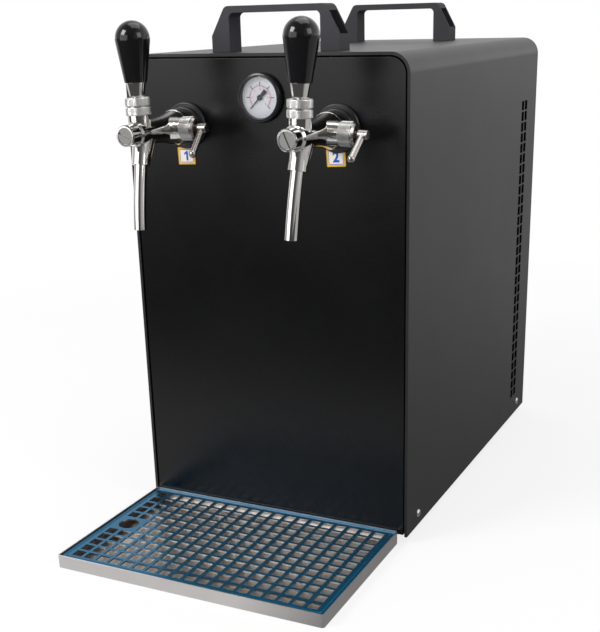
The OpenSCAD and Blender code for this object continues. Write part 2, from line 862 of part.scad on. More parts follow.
// Tube that stands in the socket and bends towards the upright
module tap_spout() {
    color([0.78, 0.77, 0.75]) at_spout() translate([0, 0, socket_l - socket_seat]) {
        difference() {
            cylinder(r = spout_r, h = socket_seat + 2);
            translate([0, 0, -eps]) cylinder(r = spout_bore_r, h = socket_seat + 2 + 2 * eps);
        }
        translate([0, -spout_curve_r, socket_seat + 2]) rotate([90, 0, 90])
            rotate_extrude(angle = spout_bend, $fn = 720) translate([spout_curve_r, 0]) difference() {
                circle(spout_r, $fn = 64);
                circle(spout_bore_r, $fn = 64);
            }
    }
}

module bonnet_nut() {
    color([0.7, 0.7, 0.69]) translate([0, -lever_reach, 0]) rotate_extrude() polygon([
        [tail_room, neck_h], [ring_d / 2 - 0.5, neck_h], [ring_d / 2, neck_h + 0.5],
        [ring_d / 2, bonnet_top - 0.5], [ring_d / 2 - 0.5, bonnet_top], [tail_room, bonnet_top]
    ]);
}

// Upper ring: holds the ball in a socket and leaves room for the ferrule to tilt
module bonnet_ring() {
    room_r = 9.7;
    room_z = pivot_z + 2.6;
    from = bonnet_top + ring_gap;
    color([0.7, 0.7, 0.69]) translate([0, -lever_reach, 0]) difference() {
        union() {
            translate([0, 0, bonnet_top]) cylinder(r = ring_d / 2 - 1.4, h = ring_gap + eps);
            rotate_extrude() polygon([
                [0, from], [ring_d / 2 - 0.5, from], [ring_d / 2, from + 0.5],
                [ring_d / 2, ring_top - 0.5], [ring_d / 2 - 0.5, ring_top], [0, ring_top]
            ]);
        }
        translate([0, 0, pivot_z]) sphere(r = ball_d / 2 + ball_fit);
        translate([0, 0, bonnet_top - eps]) cylinder(r = 5.2, h = ring_h);
        translate([0, 0, room_z]) cylinder(r1 = room_r, r2 = room_r + 1.4, h = ring_top - room_z + 0.2);
    }
}

// Handle parts are drawn about the ball's centre
module at_pivot() {
    translate([0, -lever_reach, pivot_z]) rotate([-handle_lean, 0, 0]) children();
}

module lever_stem() {
    color("silver") at_pivot() {
        sphere(r = ball_d / 2);
        translate([0, 0, -tail_l]) cylinder(r = tail_d / 2, h = tail_l);
        translate([0, 0, -tail_l]) sphere(r = tail_tip_d / 2);
        cylinder(r = stud_r + 1, h = ferrule_z);
        cylinder(r = stud_r, h = knob_z + knob_h / 2);
    }
}

module ferrule() {
    color([0.78, 0.77, 0.75]) at_pivot() difference() {
        rotate_extrude() polygon([
            [0, ferrule_z], [ferrule_d1 / 2 - 0.6, ferrule_z], [ferrule_d1 / 2, ferrule_z + 0.6],
            [ferrule_d2 / 2, knob_z], [0, knob_z]
        ]);
        translate([0, 0, ferrule_z - eps]) cylinder(r = stud_r + fit, h = ferrule_h + 2 * eps);
    }
}

// Teardrop: a ball on top, with straight sides that meet it smoothly
module tap_knob() {
    r = knob_d / 2;
    foot_r = ferrule_d2 / 2 + 1.2;
    ball_z = knob_z + knob_h - r;
    drop = ball_z - knob_z;
    reach = sqrt(foot_r * foot_r + drop * drop);
    lean = acos(r / reach) - atan2(drop, foot_r) - 1;
    color([0.05, 0.05, 0.06]) at_pivot() difference() {
        rotate_extrude() intersection() {
            union() {
                translate([0, ball_z]) circle(r);
                polygon([
                    [0, knob_z], [foot_r, knob_z],
                    [r * cos(lean), ball_z + r * sin(lean)], [0, ball_z]
                ]);
            }
            translate([0, knob_z]) square([knob_d, knob_h + eps]);
        }
        translate([0, 0, knob_z - eps]) cylinder(r = stud_r + fit, h = knob_h / 2 + eps + fit);
    }
}

// Spool in the tap's bore, moved by the tail's tip
module valve_plunger() {
    back = -lever_reach + plunger_back;
    front = -lever_reach - plunger_front;
    color("white") translate([0, -plunger_shift, 0]) difference() {
        along_y(front, back, plunger_r);
        translate([0, -lever_reach, tail_tip_z])
            cube([2 * plunger_slot, 2 * plunger_slot, tap_bore_d + 0.6], center = true);
        for (y = [front + 4, back - 6])
            translate([0, y, 0]) rotate([-90, 0, 0]) difference() {
                cylinder(r = plunger_r + eps, h = 2);
                translate([0, 0, -eps]) cylinder(r = plunger_r - 1, h = 2 + 2 * eps);
            }
    }
}

module gland_nut() {
    chamfer = 2;
    corner = gland_af / sqrt(3);
    color([0.72, 0.72, 0.7]) translate([0, -flow_reach, 0]) difference() {
        intersection() {
            translate([gland_from, 0, 0]) rotate([0, 90, 0]) rotate(30)
                cylinder(r = corner, h = gland_l, $fn = 6);
            translate([gland_from, 0, 0]) rotate([0, 90, 0]) rotate_extrude() polygon([
                [0, 0], [corner, 0], [corner, gland_l - chamfer], [gland_af / 2 - chamfer, gland_l],
                [0, gland_l]
            ]);
        }
        along_x(gland_from - eps, gland_to + eps, spindle_r + run_fit);
    }
}

// Spindle with the vane inside the tap and the lever outside
module flow_lever(slope) {
    lever_x = spindle_end - lever_hub_l / 2 - 1;
    inner = 1 - vane_r;
    color([0.75, 0.74, 0.72]) translate([0, -flow_reach, 0]) rotate([slope, 0, 0]) {
        along_x(flow_r, spindle_end, spindle_r);
        along_x(inner, flow_r + eps, vane_t / 2 + 0.6);
        translate([0, 0, -vane_t / 2]) cylinder(r = vane_r, h = vane_t);
        along_x(spindle_end - lever_hub_l, spindle_end - 0.6, lever_hub_r);
        translate([spindle_end - 0.6, 0, 0]) rotate([0, 90, 0])
            cylinder(r1 = lever_hub_r, r2 = lever_hub_r - 0.6, h = 0.6);
        translate([lever_x, 0, 0]) along_y(-flow_lever_l, 0, flow_lever_w / 2);
        translate([lever_x, -flow_lever_l, 0]) rotate([90, 0, 0]) sphere(r = flow_lever_w / 2 + 0.4);
    }
}

// Gauge, drawn about its own axis, with y = 0 on the panel's face

module at_gauge() {
    translate([gauge_x, panel_setback, gauge_z]) children();
}

module gauge_case() {
    r = bezel_d / 2;
    seat_r = dial_d / 2 + 0.4;
    back = gauge_case_l;
    color([0.07, 0.07, 0.08]) at_gauge() difference() {
        union() {
            turned_out() polygon([
                [0, 0], [r - 0.8, 0], [r, 0.8], [r, bezel_t - 3], [r - 0.9, bezel_t - 0.9], [r - 3, bezel_t],
                [0, bezel_t]
            ]);
            along_y(-eps, back - 6, gauge_case_d / 2);
            along_y(back - 7, back, gauge_case_d / 2 - 4);
        }
        turned_out() polygon([[0, -lens_y], [seat_r, -lens_y], [r - 3.6, bezel_t + 0.1], [0, bezel_t + 0.1]]);
        along_y(lens_y - eps, dial_face_y + dial_t, seat_r);
        along_y(dial_face_y, dial_face_y + dial_t + 3, 3);
    }
}

module gauge_dial() {
    color("white") at_gauge() difference() {
        along_y(dial_face_y, dial_face_y + dial_t, dial_d / 2 + 0.2);
        along_y(dial_face_y - eps, dial_face_y + dial_t + eps, 1 + run_fit);
    }
}

// Needle at the zero of its scale, low on the left
module gauge_needle() {
    zero = -135;
    y0 = dial_face_y - 1.6;
    color("black") at_gauge() {
        along_y(y0 - 0.6, y0 + 1.2, 2.8);
        along_y(y0, dial_face_y + dial_t - 0.1, 1);
        rotate([0, zero, 0]) upright(y0, 0.6) polygon([
            [-2.2, -9.5], [2.2, -9.5], [1.4, -2], [0.8, 0],
            [0.25, needle_l], [-0.25, needle_l], [-0.8, 0], [-1.4, -2]
        ]);
    }
}

module gauge_lens() {
    color([0.8, 0.9, 0.95, 0.3]) at_gauge() along_y(lens_y, lens_y + lens_t, dial_d / 2 + 0.2);
}

// Drip tray and grid, drawn from the middle of the tray on the table

module at_tray() {
    translate([tray_x, -tray_gap - tray_l / 2, 0]) children();
}

// Open box of sheet, with a ledge around the inside for the grid
module drip_tray() {
    w = tray_w - 2 * tray_t;
    l = tray_l - 2 * tray_t;
    r = tray_r - tray_t;
    color([0.75, 0.73, 0.7]) at_tray() difference() {
        linear_extrude(tray_h) round_rect(tray_w, tray_l, tray_r);
        translate([0, 0, ledge_z]) linear_extrude(tray_h) round_rect(w, l, r);
        translate([0, 0, tray_t]) linear_extrude(tray_h) round_rect(w - 2 * ledge_w, l - 2 * ledge_w, r);
        translate([0, 0, tray_t]) linear_extrude(ledge_z - 2 * tray_t) round_rect(w, l, r);
    }
}

module drip_grid() {
    w = tray_w - 2 * tray_t - 2 * grid_gap;
    l = tray_l - 2 * tray_t - 2 * grid_gap;
    r = tray_r - tray_t;
    first_x = -(grid_cols - 1) / 2 * grid_pitch_x;
    first_y = (grid_rows - 1) / 2 * grid_pitch_y;
    finger_row = floor(grid_rows / 2) - 1;
    color([0.05, 0.3, 0.45]) at_tray() difference() {
        translate([0, 0, ledge_z]) linear_extrude(grid_lip + grid_t) round_rect(w, l, r);
        translate([0, 0, ledge_z - eps]) linear_extrude(grid_lip + eps)
            round_rect(w - 2 * grid_t, l - 2 * grid_t, r - grid_t);
        translate([0, 0, ledge_z + grid_lip - eps]) linear_extrude(grid_t + 2 * eps) {
            for (c = [0 : grid_cols - 1], k = [0 : grid_rows - 1])
                if (c > 1 || k < finger_row || k > finger_row + 1)
                    translate([first_x + c * grid_pitch_x, first_y - k * grid_pitch_y])
                        square([grid_hole_x, grid_hole_y], center = true);
            translate([first_x + grid_pitch_x / 2, first_y - (finger_row + 0.5) * grid_pitch_y])
                circle(finger_hole_d / 2);
        }
    }
}

// Back fittings, drawn with y = 0 on the rear panel's outer face

module union_places() {
    for (k = [-1, 0, 1])
        at_union(k) children();
}

module at_union(k) {
    translate([k * union_pitch, rear_out, fittings_z]) children();
}

module line_unions() {
    neck_r = union_r - 1;
    color([0.2, 0.2, 0.21]) union_places() difference() {
        union() {
            along_y(-union_in, union_out, neck_r);
            along_y(5, union_out, union_r);
            rotate([-90, 0, 0]) cylinder(r = union_r + 4, h = 5, $fn = 6);
            translate([0, -sheet - 5, 0]) rotate([-90, 0, 0]) cylinder(r = union_r + 4, h = 5, $fn = 6);
        }
        along_y(union_out - line_depth, union_out + eps, line_r);
        along_y(union_out - collet_l, union_out + eps, collet_room_r);
        along_y(-union_in - eps, union_out, line_r - 1.5);
    }
}

// Sliding sleeve that frees the line when it is pressed in
module collet(k) {
    bore_r = line_r + 0.15;
    color([0.3, 0.3, 0.31]) at_union(k) difference() {
        union() {
            along_y(union_out - collet_l + collet_gap, union_out + collet_gap + eps, collet_room_r - fit);
            along_y(union_out + collet_gap, union_out + collet_gap + collet_head, collet_room_r + 1.2);
        }
        along_y(0, union_out + 10, bore_r);
    }
}

module beer_collet_left() {
    collet(-1);
}

module gas_collet() {
    collet(0);
}

module beer_collet_right() {
    collet(1);
}

module at_thermostat() {
    translate([thermostat_x, rear_out, fittings_z]) children();
}

module thermostat() {
    color([0.75, 0.75, 0.73]) at_thermostat() difference() {
        union() {
            translate([-16, -sheet - 30, -14]) cube([32, 30, 28]);
            along_y(-sheet - eps, 2, 4.6);
        }
        along_y(-sheet - 20, 3, 3 + run_fit);
    }
}

module thermostat_knob() {
    r = dial_knob_d / 2;
    color([0.1, 0.1, 0.1]) at_thermostat() {
        along_y(-sheet - 18, 4, 3);
        difference() {
            rotate([-90, 0, 0]) rotate_extrude() polygon([
                [0, 3], [r, 3], [r, 5.5], [r - 3, 6.5], [r - 4, dial_knob_t - 1], [r - 5, dial_knob_t],
                [0, dial_knob_t]
            ]);
            for (a = [0 : 30 : 330])
                rotate([0, a, 0]) translate([r - 2, 0, 0]) along_y(6, dial_knob_t + eps, 1.6);
            translate([-0.8, dial_knob_t - 1, 3]) cube([1.6, 2, r]);
        }
    }
}

module at_switch() {
    translate([-thermostat_x, rear_out, fittings_z]) children();
}

// Hollow frame that carries the rocker on its two trunnions
module switch_frame() {
    inner_w = switch_w - 8;
    inner_h = switch_h - 7;
    color([0.08, 0.08, 0.08]) at_switch() difference() {
        union() {
            translate([-switch_w / 2, 0, -switch_h / 2]) cube([switch_w, 2, switch_h]);
            translate([2 - switch_w / 2, -22, 2 - switch_h / 2]) cube([switch_w - 4, 22 + eps, switch_h - 4]);
        }
        translate([-inner_w / 2, -18, -inner_h / 2]) cube([inner_w, 30, inner_h]);
        translate([0, -rocker_axis, 0]) along_x(-inner_w / 2 - 1.5, inner_w / 2 + 1.5, trunnion_r + run_fit);
    }
}

module mains_rocker() {
    w = switch_w - 8 - 0.8;
    half = (switch_h - 7) / 2 - 1.6;
    color([0.6, 0.1, 0.08]) at_switch() translate([0, -rocker_axis, 0]) rotate([-rocker_tilt, 0, 0]) {
        rotate([90, 0, 90]) translate([0, 0, -w / 2]) linear_extrude(w)
            polygon([[-6, 3 - half], [7.5, -half], [5.5, 0], [7.5, half], [-6, half - 3]]);
        along_x(-w / 2 - 1.5, w / 2 + 1.5, trunnion_r);
    }
}

module at_inlet() {
    translate([-thermostat_x, rear_out, inlet_z]) children();
}

module mains_inlet() {
    color([0.1, 0.1, 0.1]) at_inlet() {
        difference() {
            union() {
                upright(0, 3) round_rect(inlet_w, inlet_h, 4);
                translate([9 - inlet_w / 2, -20, 3 - inlet_h / 2]) cube([inlet_w - 18, 20 + eps, inlet_h - 6]);
            }
            upright(-16, 30) round_outline(
                [[-12.2, -8.2], [12.2, -8.2], [12.2, 3], [7, 8.2], [-7, 8.2], [-12.2, 3]],
                [1.5, 1.5, 1, 1, 1, 1]
            );
            both_sides() translate([inlet_w / 2 - 4.5, 0, 0]) along_y(-1, 4, 1.7);
        }
        for (p = [[-7, -2], [0, 2], [7, -2]])
            translate([p[0] - 1, -17, p[1] - 2]) cube([2, 14, 4]);
    }
}

// Cooling machinery

module foam_jacket() {
    color([0.85, 0.8, 0.6]) translate([-jacket_w / 2, jacket_front, floor_z]) difference() {
        cube([jacket_w, jacket_d, jacket_h]);
        translate([jacket_t, jacket_t, jacket_t])
            cube([jacket_w - 2 * jacket_t, jacket_d - 2 * jacket_t, jacket_h - 2 * jacket_t]);
    }
}

module cold_block() {
    play = jacket_t + fit;
    color([0.7, 0.71, 0.72]) translate([play - jacket_w / 2, jacket_front + play, floor_z + jacket_t])
        cube([jacket_w - 2 * play, jacket_d - 2 * play, jacket_h - 2 * jacket_t - fit]);
}

// Welded can on four grommets, with its two pipe stubs
module compressor() {
    r = can_d / 2;
    dome = 24;
    dome_r = (r * r + dome * dome) / (2 * dome);
    foot = r - 8;
    color([0.07, 0.07, 0.07]) translate([can_x, machine_y, floor_z]) {
        translate([0, 0, can_foot]) rotate_extrude() intersection() {
            square([r, can_h]);
            translate([0, dome_r]) circle(dome_r, $fn = 200);
            translate([0, can_h - dome_r]) circle(dome_r, $fn = 200);
        }
        translate([0, 0, can_foot + can_h * 0.55]) cylinder(r = r + can_band, h = 5);
        translate([0, 0, can_foot + 3]) linear_extrude(4) round_rect(can_d, can_d, 10);
        for (x = [-1, 1], y = [-1, 1])
            translate([x * foot, y * foot, 0]) cylinder(r = 7, h = can_foot + 4);
        for (p = [[20, 20], [-20, -20]])
            translate([p[0], p[1], can_foot + can_h - dome]) cylinder(r = pipe_r + 1, h = dome + 14);
    }
}

module condenser() {
    plate = 2;
    inner = condenser_w - 2 * plate;
    color([0.55, 0.56, 0.58]) translate([-condenser_w / 2, condenser_front, floor_z]) {
        for (x = [0, condenser_w - plate])
            translate([x, 0, 0]) cube([plate, condenser_d, condenser_h]);
        for (k = [1 : fin_n])
            translate([plate + inner * k / (fin_n + 1) - 0.4, 1, 12])
                cube([0.8, condenser_d - 2, condenser_h - 20]);
        for (k = [0 : pass_n - 1])
            translate([0, condenser_d / 2, pass_low + k * (condenser_h - pass_low - pass_top) / (pass_n - 1)])
                along_x(plate / 2, condenser_w - plate / 2, pipe_r);
        translate([0, 0, condenser_h - plate]) cube([condenser_w, condenser_d, plate]);
    }
}

module at_fan() {
    translate([0, fan_face, fan_z]) children();
}

// Plate with the fan's ring, three struts and the motor
module fan_frame() {
    r = fan_d / 2 + fan_gap;
    color([0.5, 0.5, 0.52]) at_fan() difference() {
        union() {
            translate([-condenser_w / 2, 0, -condenser_h / 2]) cube([condenser_w, frame_t, condenser_h]);
            along_y(-fan_ring_l, eps, r + frame_t);
        }
        along_y(-fan_ring_l - eps, frame_t + eps, r);
    }
    color([0.5, 0.5, 0.52]) at_fan() difference() {
        union() {
            for (a = [0, 120, 240])
                rotate([0, a, 0]) translate([-5, 0.5 - fan_ring_l, 0]) cube([10, 2, r + frame_t / 2]);
            along_y(-fan_ring_l - motor_l, 3 - fan_ring_l, motor_r);
        }
        along_y(-fan_ring_l - 20, eps, 3 + run_fit);
    }
}

module fan_blades() {
    from = 5 - fan_ring_l;
    depth = fan_ring_l - 7;
    pitch = 28;
    color([0.15, 0.15, 0.15]) at_fan() {
        along_y(-fan_ring_l - 18, from + eps, 3);
        along_y(from, from + depth, hub_r);
        intersection() {
            for (a = [0 : 360 / blade_n : 359])
                rotate([0, a, 0]) translate([0, from + depth / 2, hub_r - 4]) rotate([0, 0, pitch])
                    translate([-fan_d / 5, -1, 0]) cube([fan_d / 2.5, 2, fan_d / 2]);
            along_y(from, from + depth, fan_d / 2);
        }
    }
}

// Small piston pump: motor on a cradle, with an upright cylinder and its head
module air_pump() {
    r = pump_d / 2;
    color([0.45, 0.46, 0.48]) translate([pump_x, machine_y, 0]) {
        translate([0, 0, pump_z]) along_y(-pump_l / 2, pump_l / 2, r);
        translate([-r, -pump_l / 2 + 8, floor_z]) cube([pump_d, 6, pump_z - floor_z]);
        translate([-r, pump_l / 2 - 14, floor_z]) cube([pump_d, 6, pump_z - floor_z]);
        translate([0, 0, pump_z]) cylinder(r = r * 0.6, h = r + 26);
        translate([-r * 0.75, -r * 0.75, pump_z + r + 26]) cube([r * 1.5, r * 1.5, 8]);
        translate([0, 0, pump_z + r + 26]) cylinder(r = pipe_r + 1.5, h = 10);
        for (k = [0 : 3])
            translate([0, 0, pump_z + r + 3 + k * 5]) cylinder(r = r * 0.8, h = 2);
    }
}

module beer_lines() {
    shank_end = panel_setback + shank_in;
    color([0.8, 0.8, 0.82]) {
        translate([tap_shift, 0, 0]) both_sides() bent_pipe([
            [tap_pitch / 2, shank_end, tap_axis_z],
            [tap_pitch / 2, jacket_mid - 20, tap_axis_z],
            [tap_pitch / 2, jacket_mid - 20, jacket_top]
        ], line_tube_r, pipe_bend);
        both_sides() bent_pipe([
            [union_pitch, union_end, fittings_z],
            [union_pitch, jacket_mid + 20, fittings_z],
            [union_pitch, jacket_mid + 20, jacket_top]
        ], line_tube_r, pipe_bend);
    }
}

// Refrigerant pipes with their drier, and the air lines to the gauge and the gas outlet
module service_pipes() {
    cold_x = jacket_w / 2 - 16;
    coil_y = condenser_front + condenser_d / 2;
    hot_z = condenser_top + 2 * pipe_bend;
    stub = 20;
    color([0.72, 0.45, 0.3]) {
        bent_pipe([
            [can_x + stub, machine_y + stub, can_top],
            [can_x + stub, machine_y + stub, hot_z],
            [can_x + stub, coil_y, hot_z],
            [can_x + stub, coil_y, condenser_top]
        ], pipe_r, pipe_bend);
        bent_pipe([
            [cold_x, coil_y, condenser_top],
            [cold_x, coil_y, over_z],
            [cold_x, jacket_mid, over_z],
            [cold_x, jacket_mid, jacket_top]
        ], pipe_r, pipe_bend);
        translate([cold_x, machine_y, over_z]) along_y(-drier_l / 2, drier_l / 2, pipe_d + 2);
        bent_pipe([
            [can_x - stub, jacket_mid, jacket_top],
            [can_x - stub, jacket_mid, over_z],
            [can_x - stub, machine_y - stub, over_z],
            [can_x - stub, machine_y - stub, can_top]
        ], pipe_r, pipe_bend);
        bent_pipe([
            [pump_x, machine_y, pump_top],
            [pump_x, machine_y, gauge_z],
            [gauge_x, machine_y, gauge_z],
            [gauge_x, panel_setback + gauge_case_l, gauge_z]
        ], pipe_r, pipe_bend);
        bent_pipe([
            [0, union_end, fittings_z],
            [0, union_end - 2 * pipe_bend, fittings_z],
            [0, union_end - 2 * pipe_bend, gas_z],
            [0, machine_y, gas_z],
            [pump_x, machine_y, gas_z]
        ], pipe_r, pipe_bend);
    }
}

// The pieces in place

module placed() {
    translate([0, front_y, 0]) children();
}

placed() base_pan();
placed() wrap_cover();
placed() front_panel();
placed() rear_panel();
placed() rubber_feet();
placed() carry_handle_front();
placed() carry_handle_rear();
placed() handle_screws();
placed() casing_screws();
placed() shank_nuts();
placed() at_tap(-1) tap_flange();  // tap_flange_left
placed() at_tap(-1) tap_shank();  // tap_shank_left
placed() at_tap(-1) tap_body();  // tap_body_left
placed() at_tap(-1) tap_plug(plug_turn_left);  // tap_plug_left
placed() at_tap(-1) tap_spout();  // tap_spout_left
placed() at_tap(-1) bonnet_nut();  // bonnet_nut_left
placed() at_tap(-1) bonnet_ring();  // bonnet_ring_left
placed() at_tap(-1) lever_stem();  // lever_stem_left
placed() at_tap(-1) ferrule();  // ferrule_left
placed() at_tap(-1) tap_knob();  // tap_knob_left
placed() at_tap(-1) valve_plunger();  // valve_plunger_left
placed() at_tap(-1) gland_nut();  // gland_nut_left
placed() at_tap(-1) flow_lever(flow_slope_left);  // flow_lever_left
placed() at_tap(1) tap_flange();  // tap_flange_right
placed() at_tap(1) tap_shank();  // tap_shank_right
placed() at_tap(1) tap_body();  // tap_body_right
placed() at_tap(1) tap_plug(plug_turn_right);  // tap_plug_right
placed() at_tap(1) tap_spout();  // tap_spout_right
placed() at_tap(1) bonnet_nut();  // bonnet_nut_right
placed() at_tap(1) bonnet_ring();  // bonnet_ring_right
placed() at_tap(1) lever_stem();  // lever_stem_right
placed() at_tap(1) ferrule();  // ferrule_right
placed() at_tap(1) tap_knob();  // tap_knob_right
placed() at_tap(1) valve_plunger();  // valve_plunger_right
placed() at_tap(1) gland_nut();  // gland_nut_right
placed() at_tap(1) flow_lever(flow_slope_right);  // flow_lever_right
placed() gauge_case();
placed() gauge_dial();
placed() gauge_needle();
placed() gauge_lens();
placed() drip_tray();
placed() drip_grid();
placed() line_unions();
placed() beer_collet_left();
placed() gas_collet();
placed() beer_collet_right();
placed() thermostat();
placed() thermostat_knob();
placed() switch_frame();
placed() mains_rocker();
placed() mains_inlet();
placed() cold_block();
placed() foam_jacket();
placed() compressor();
placed() condenser();
placed() fan_frame();
placed() fan_blades();
placed() air_pump();
placed() beer_lines();
placed() service_pipes();
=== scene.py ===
# Looks of the dry beer cooler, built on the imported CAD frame. Metres, +Z up, the taps face -Y.
import json
import math
import bmesh
import bpy
from mathutils import Matrix, Quaternion, Vector
from mathutils.bvhtree import BVHTree


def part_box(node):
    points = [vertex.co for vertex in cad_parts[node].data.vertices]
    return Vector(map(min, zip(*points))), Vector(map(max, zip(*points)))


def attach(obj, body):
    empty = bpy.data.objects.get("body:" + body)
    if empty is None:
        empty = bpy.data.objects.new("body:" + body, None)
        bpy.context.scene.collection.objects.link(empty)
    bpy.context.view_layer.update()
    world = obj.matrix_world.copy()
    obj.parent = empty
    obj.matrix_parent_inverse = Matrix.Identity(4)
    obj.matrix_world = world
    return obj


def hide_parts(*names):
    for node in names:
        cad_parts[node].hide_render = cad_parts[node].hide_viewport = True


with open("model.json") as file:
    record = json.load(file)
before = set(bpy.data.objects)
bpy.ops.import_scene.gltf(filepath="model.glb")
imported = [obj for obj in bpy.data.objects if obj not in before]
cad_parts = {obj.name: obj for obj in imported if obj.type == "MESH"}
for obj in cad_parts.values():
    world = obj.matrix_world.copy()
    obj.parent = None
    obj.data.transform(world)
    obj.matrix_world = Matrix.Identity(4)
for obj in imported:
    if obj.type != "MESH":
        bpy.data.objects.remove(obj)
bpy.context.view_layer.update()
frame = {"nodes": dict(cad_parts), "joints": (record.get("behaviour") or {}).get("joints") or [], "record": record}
nodes = frame["nodes"]
joints = {j["name"]: j for j in frame["joints"]}
bodyOf = {n: body for body, members in frame["record"]["behaviour"]["bodies"].items() for n in members}
mm = 0.001
sides = ("left", "right")


# one socket of a shader or geometry tree: plain maths on it adds Math nodes, make() adds any other node
class Sock:
    def __init__(self, tree, out=None):
        self.tree = tree
        self.out = out

    def plug(self, target, value):
        if isinstance(value, Sock):
            self.tree.links.new(value.out, target)
        else:
            target.default_value = value

    def make(self, kind, settings=None, sockets=None, out=0):
        node = self.tree.nodes.new(kind)
        for key, value in (settings or {}).items():
            setattr(node, key, value)
        for key, value in (sockets or {}).items():
            self.plug(node.inputs[key], value)
        return Sock(self.tree, node.outputs[out])

    def maths(self, operation, a, b=0.0):
        return self.make("ShaderNodeMath", {"operation": operation}, {0: a, 1: b})

    def __add__(self, other):
        return self.maths("ADD", self, other)

    def __sub__(self, other):
        return self.maths("SUBTRACT", self, other)

    def __rsub__(self, other):
        return self.maths("SUBTRACT", other, self)

    def __mul__(self, other):
        return self.maths("MULTIPLY", self, other)

    def __truediv__(self, other):
        return self.maths("DIVIDE", self, other)

    def __mod__(self, other):
        return self.maths("FLOORED_MODULO", self, other)

    __radd__ = __add__
    __rmul__ = __mul__

    def clamped(self):
        return self.make("ShaderNodeClamp", None, {"Value": self})

    def blend(self, low, high):  # mixes two colours by this value
        return self.make("ShaderNodeMix", {"data_type": "RGBA"}, {0: self, 6: low, 7: high}, out=2)


def colour(r, g, b):
    return (r, g, b, 1.0)


# a material with one Principled shader; plain numbers go straight on its sockets
def newFinish(name, **plain):
    mat = bpy.data.materials.new(name)
    mat.use_nodes = True
    tree = mat.node_tree
    shader = tree.nodes["Principled BSDF"]
    for key, value in plain.items():
        shader.inputs[key.replace("_", " ")].default_value = value
    sock = Sock(tree)

    def feed(target, value):
        sock.plug(shader.inputs[target], value)

    place = sock.make("ShaderNodeTexCoord", out="Object")
    return mat, sock, place, feed


def noise(sock, vector, scale, detail=2.0, rough=0.5):
    return sock.make("ShaderNodeTexNoise", None,
                     {"Vector": vector, "Scale": scale, "Detail": detail, "Roughness": rough}, out="Fac")


def stretched(sock, vector, scale):
    return sock.make("ShaderNodeMapping", None, {"Vector": vector, "Scale": scale})


def bumped(sock, height, strength, distance):
    return sock.make("ShaderNodeBump", None, {"Height": height, "Strength": strength, "Distance": distance})


bumpDepth = dict(coat=0.15 * mm, plastic=0.12 * mm, knob=0.2 * mm, metal=0.08 * mm, film=0.1 * mm)


# painted sheet: fine orange peel, faint cloudiness in gloss and tone
def powderCoat(name, look):
    mat, sock, place, feed = newFinish(name, Specular_IOR_Level=look["specular"])
    cloud = noise(sock, place, look["cloudScale"], 3)
    grain = noise(sock, place, look["grainScale"])
    tone = (cloud * 0.7 + grain * 0.3).clamped()
    feed("Base Color", tone.blend(colour(*look["dark"]), colour(*look["light"])))
    feed("Roughness", look["rough"] + (cloud - 0.5) * 0.1 + (grain - 0.5) * 0.08)
    feed("Normal", bumped(sock, grain, look["peel"], bumpDepth["coat"]))
    return mat


coats = {
    "wrap": dict(dark=(0.0075, 0.0075, 0.0075), light=(0.011, 0.011, 0.011), rough=0.44, specular=0.5,
                 cloudScale=9, grainScale=1500, peel=0.25),
    "front": dict(dark=(0.001, 0.0011, 0.0014), light=(0.0018, 0.002, 0.0025), rough=0.27, specular=0.36,
                  cloudScale=9, grainScale=1500, peel=0.25),
    "machine": dict(dark=(0.012, 0.012, 0.012), light=(0.02, 0.02, 0.02), rough=0.3, specular=0.5,
                    cloudScale=30, grainScale=900, peel=0.2),
}
coat = {key: powderCoat(key + "Coat", look) for key, look in coats.items()}


# moulded plastic: spark-eroded grain, slightly uneven gloss
def mouldedPlastic(name, look):
    mat, sock, place, feed = newFinish(name, Specular_IOR_Level=look.get("specular", 0.5))
    grain = noise(sock, place, look["grainScale"], 3, 0.6)
    drift = noise(sock, place, 40)
    feed("Base Color", drift.blend(colour(*look["dark"]), colour(*look["light"])))
    feed("Roughness", look["rough"] + (drift - 0.5) * 0.12 + (grain - 0.5) * 0.06)
    feed("Normal", bumped(sock, grain, look["grain"], bumpDepth["plastic"]))
    return mat


plastics = {
    "handle": dict(dark=(0.054, 0.054, 0.060), light=(0.068, 0.068, 0.075), rough=0.6, specular=0.04,
                   grainScale=1700, grain=0.35),
    "tapBlack": dict(dark=(0.008, 0.008, 0.009), light=(0.014, 0.014, 0.015), rough=0.34,
                     grainScale=1500, grain=0.15),
    "bezel": dict(dark=(0.008, 0.008, 0.009), light=(0.013, 0.013, 0.014), rough=0.27,
                  grainScale=1500, grain=0.1),
    "control": dict(dark=(0.014, 0.014, 0.014), light=(0.022, 0.022, 0.022), rough=0.45,
                    grainScale=1800, grain=0.25),
    "fitting": dict(dark=(0.20, 0.20, 0.21), light=(0.27, 0.27, 0.28), rough=0.42,
                    grainScale=1400, grain=0.2),
    "collet": dict(dark=(0.06, 0.06, 0.065), light=(0.09, 0.09, 0.095), rough=0.4,
                   grainScale=1400, grain=0.2),
    "rocker": dict(dark=(0.30, 0.012, 0.01), light=(0.38, 0.018, 0.014), rough=0.3,
                   grainScale=1500, grain=0.1),
    "ivory": dict(dark=(0.60, 0.60, 0.57), light=(0.70, 0.70, 0.67), rough=0.45,
                  grainScale=1500, grain=0.15),
    "tube": dict(dark=(0.55, 0.56, 0.58), light=(0.66, 0.67, 0.69), rough=0.3,
                 grainScale=900, grain=0.1),
    "foam": dict(dark=(0.42, 0.36, 0.22), light=(0.58, 0.52, 0.35), rough=0.85,
                 grainScale=500, grain=0.8),
    "rubber": dict(dark=(0.012, 0.012, 0.012), light=(0.02, 0.02, 0.02), rough=0.7,
                   grainScale=1600, grain=0.4),
}
plastic = {key: mouldedPlastic(key + "Plastic", look) for key, look in plastics.items()}


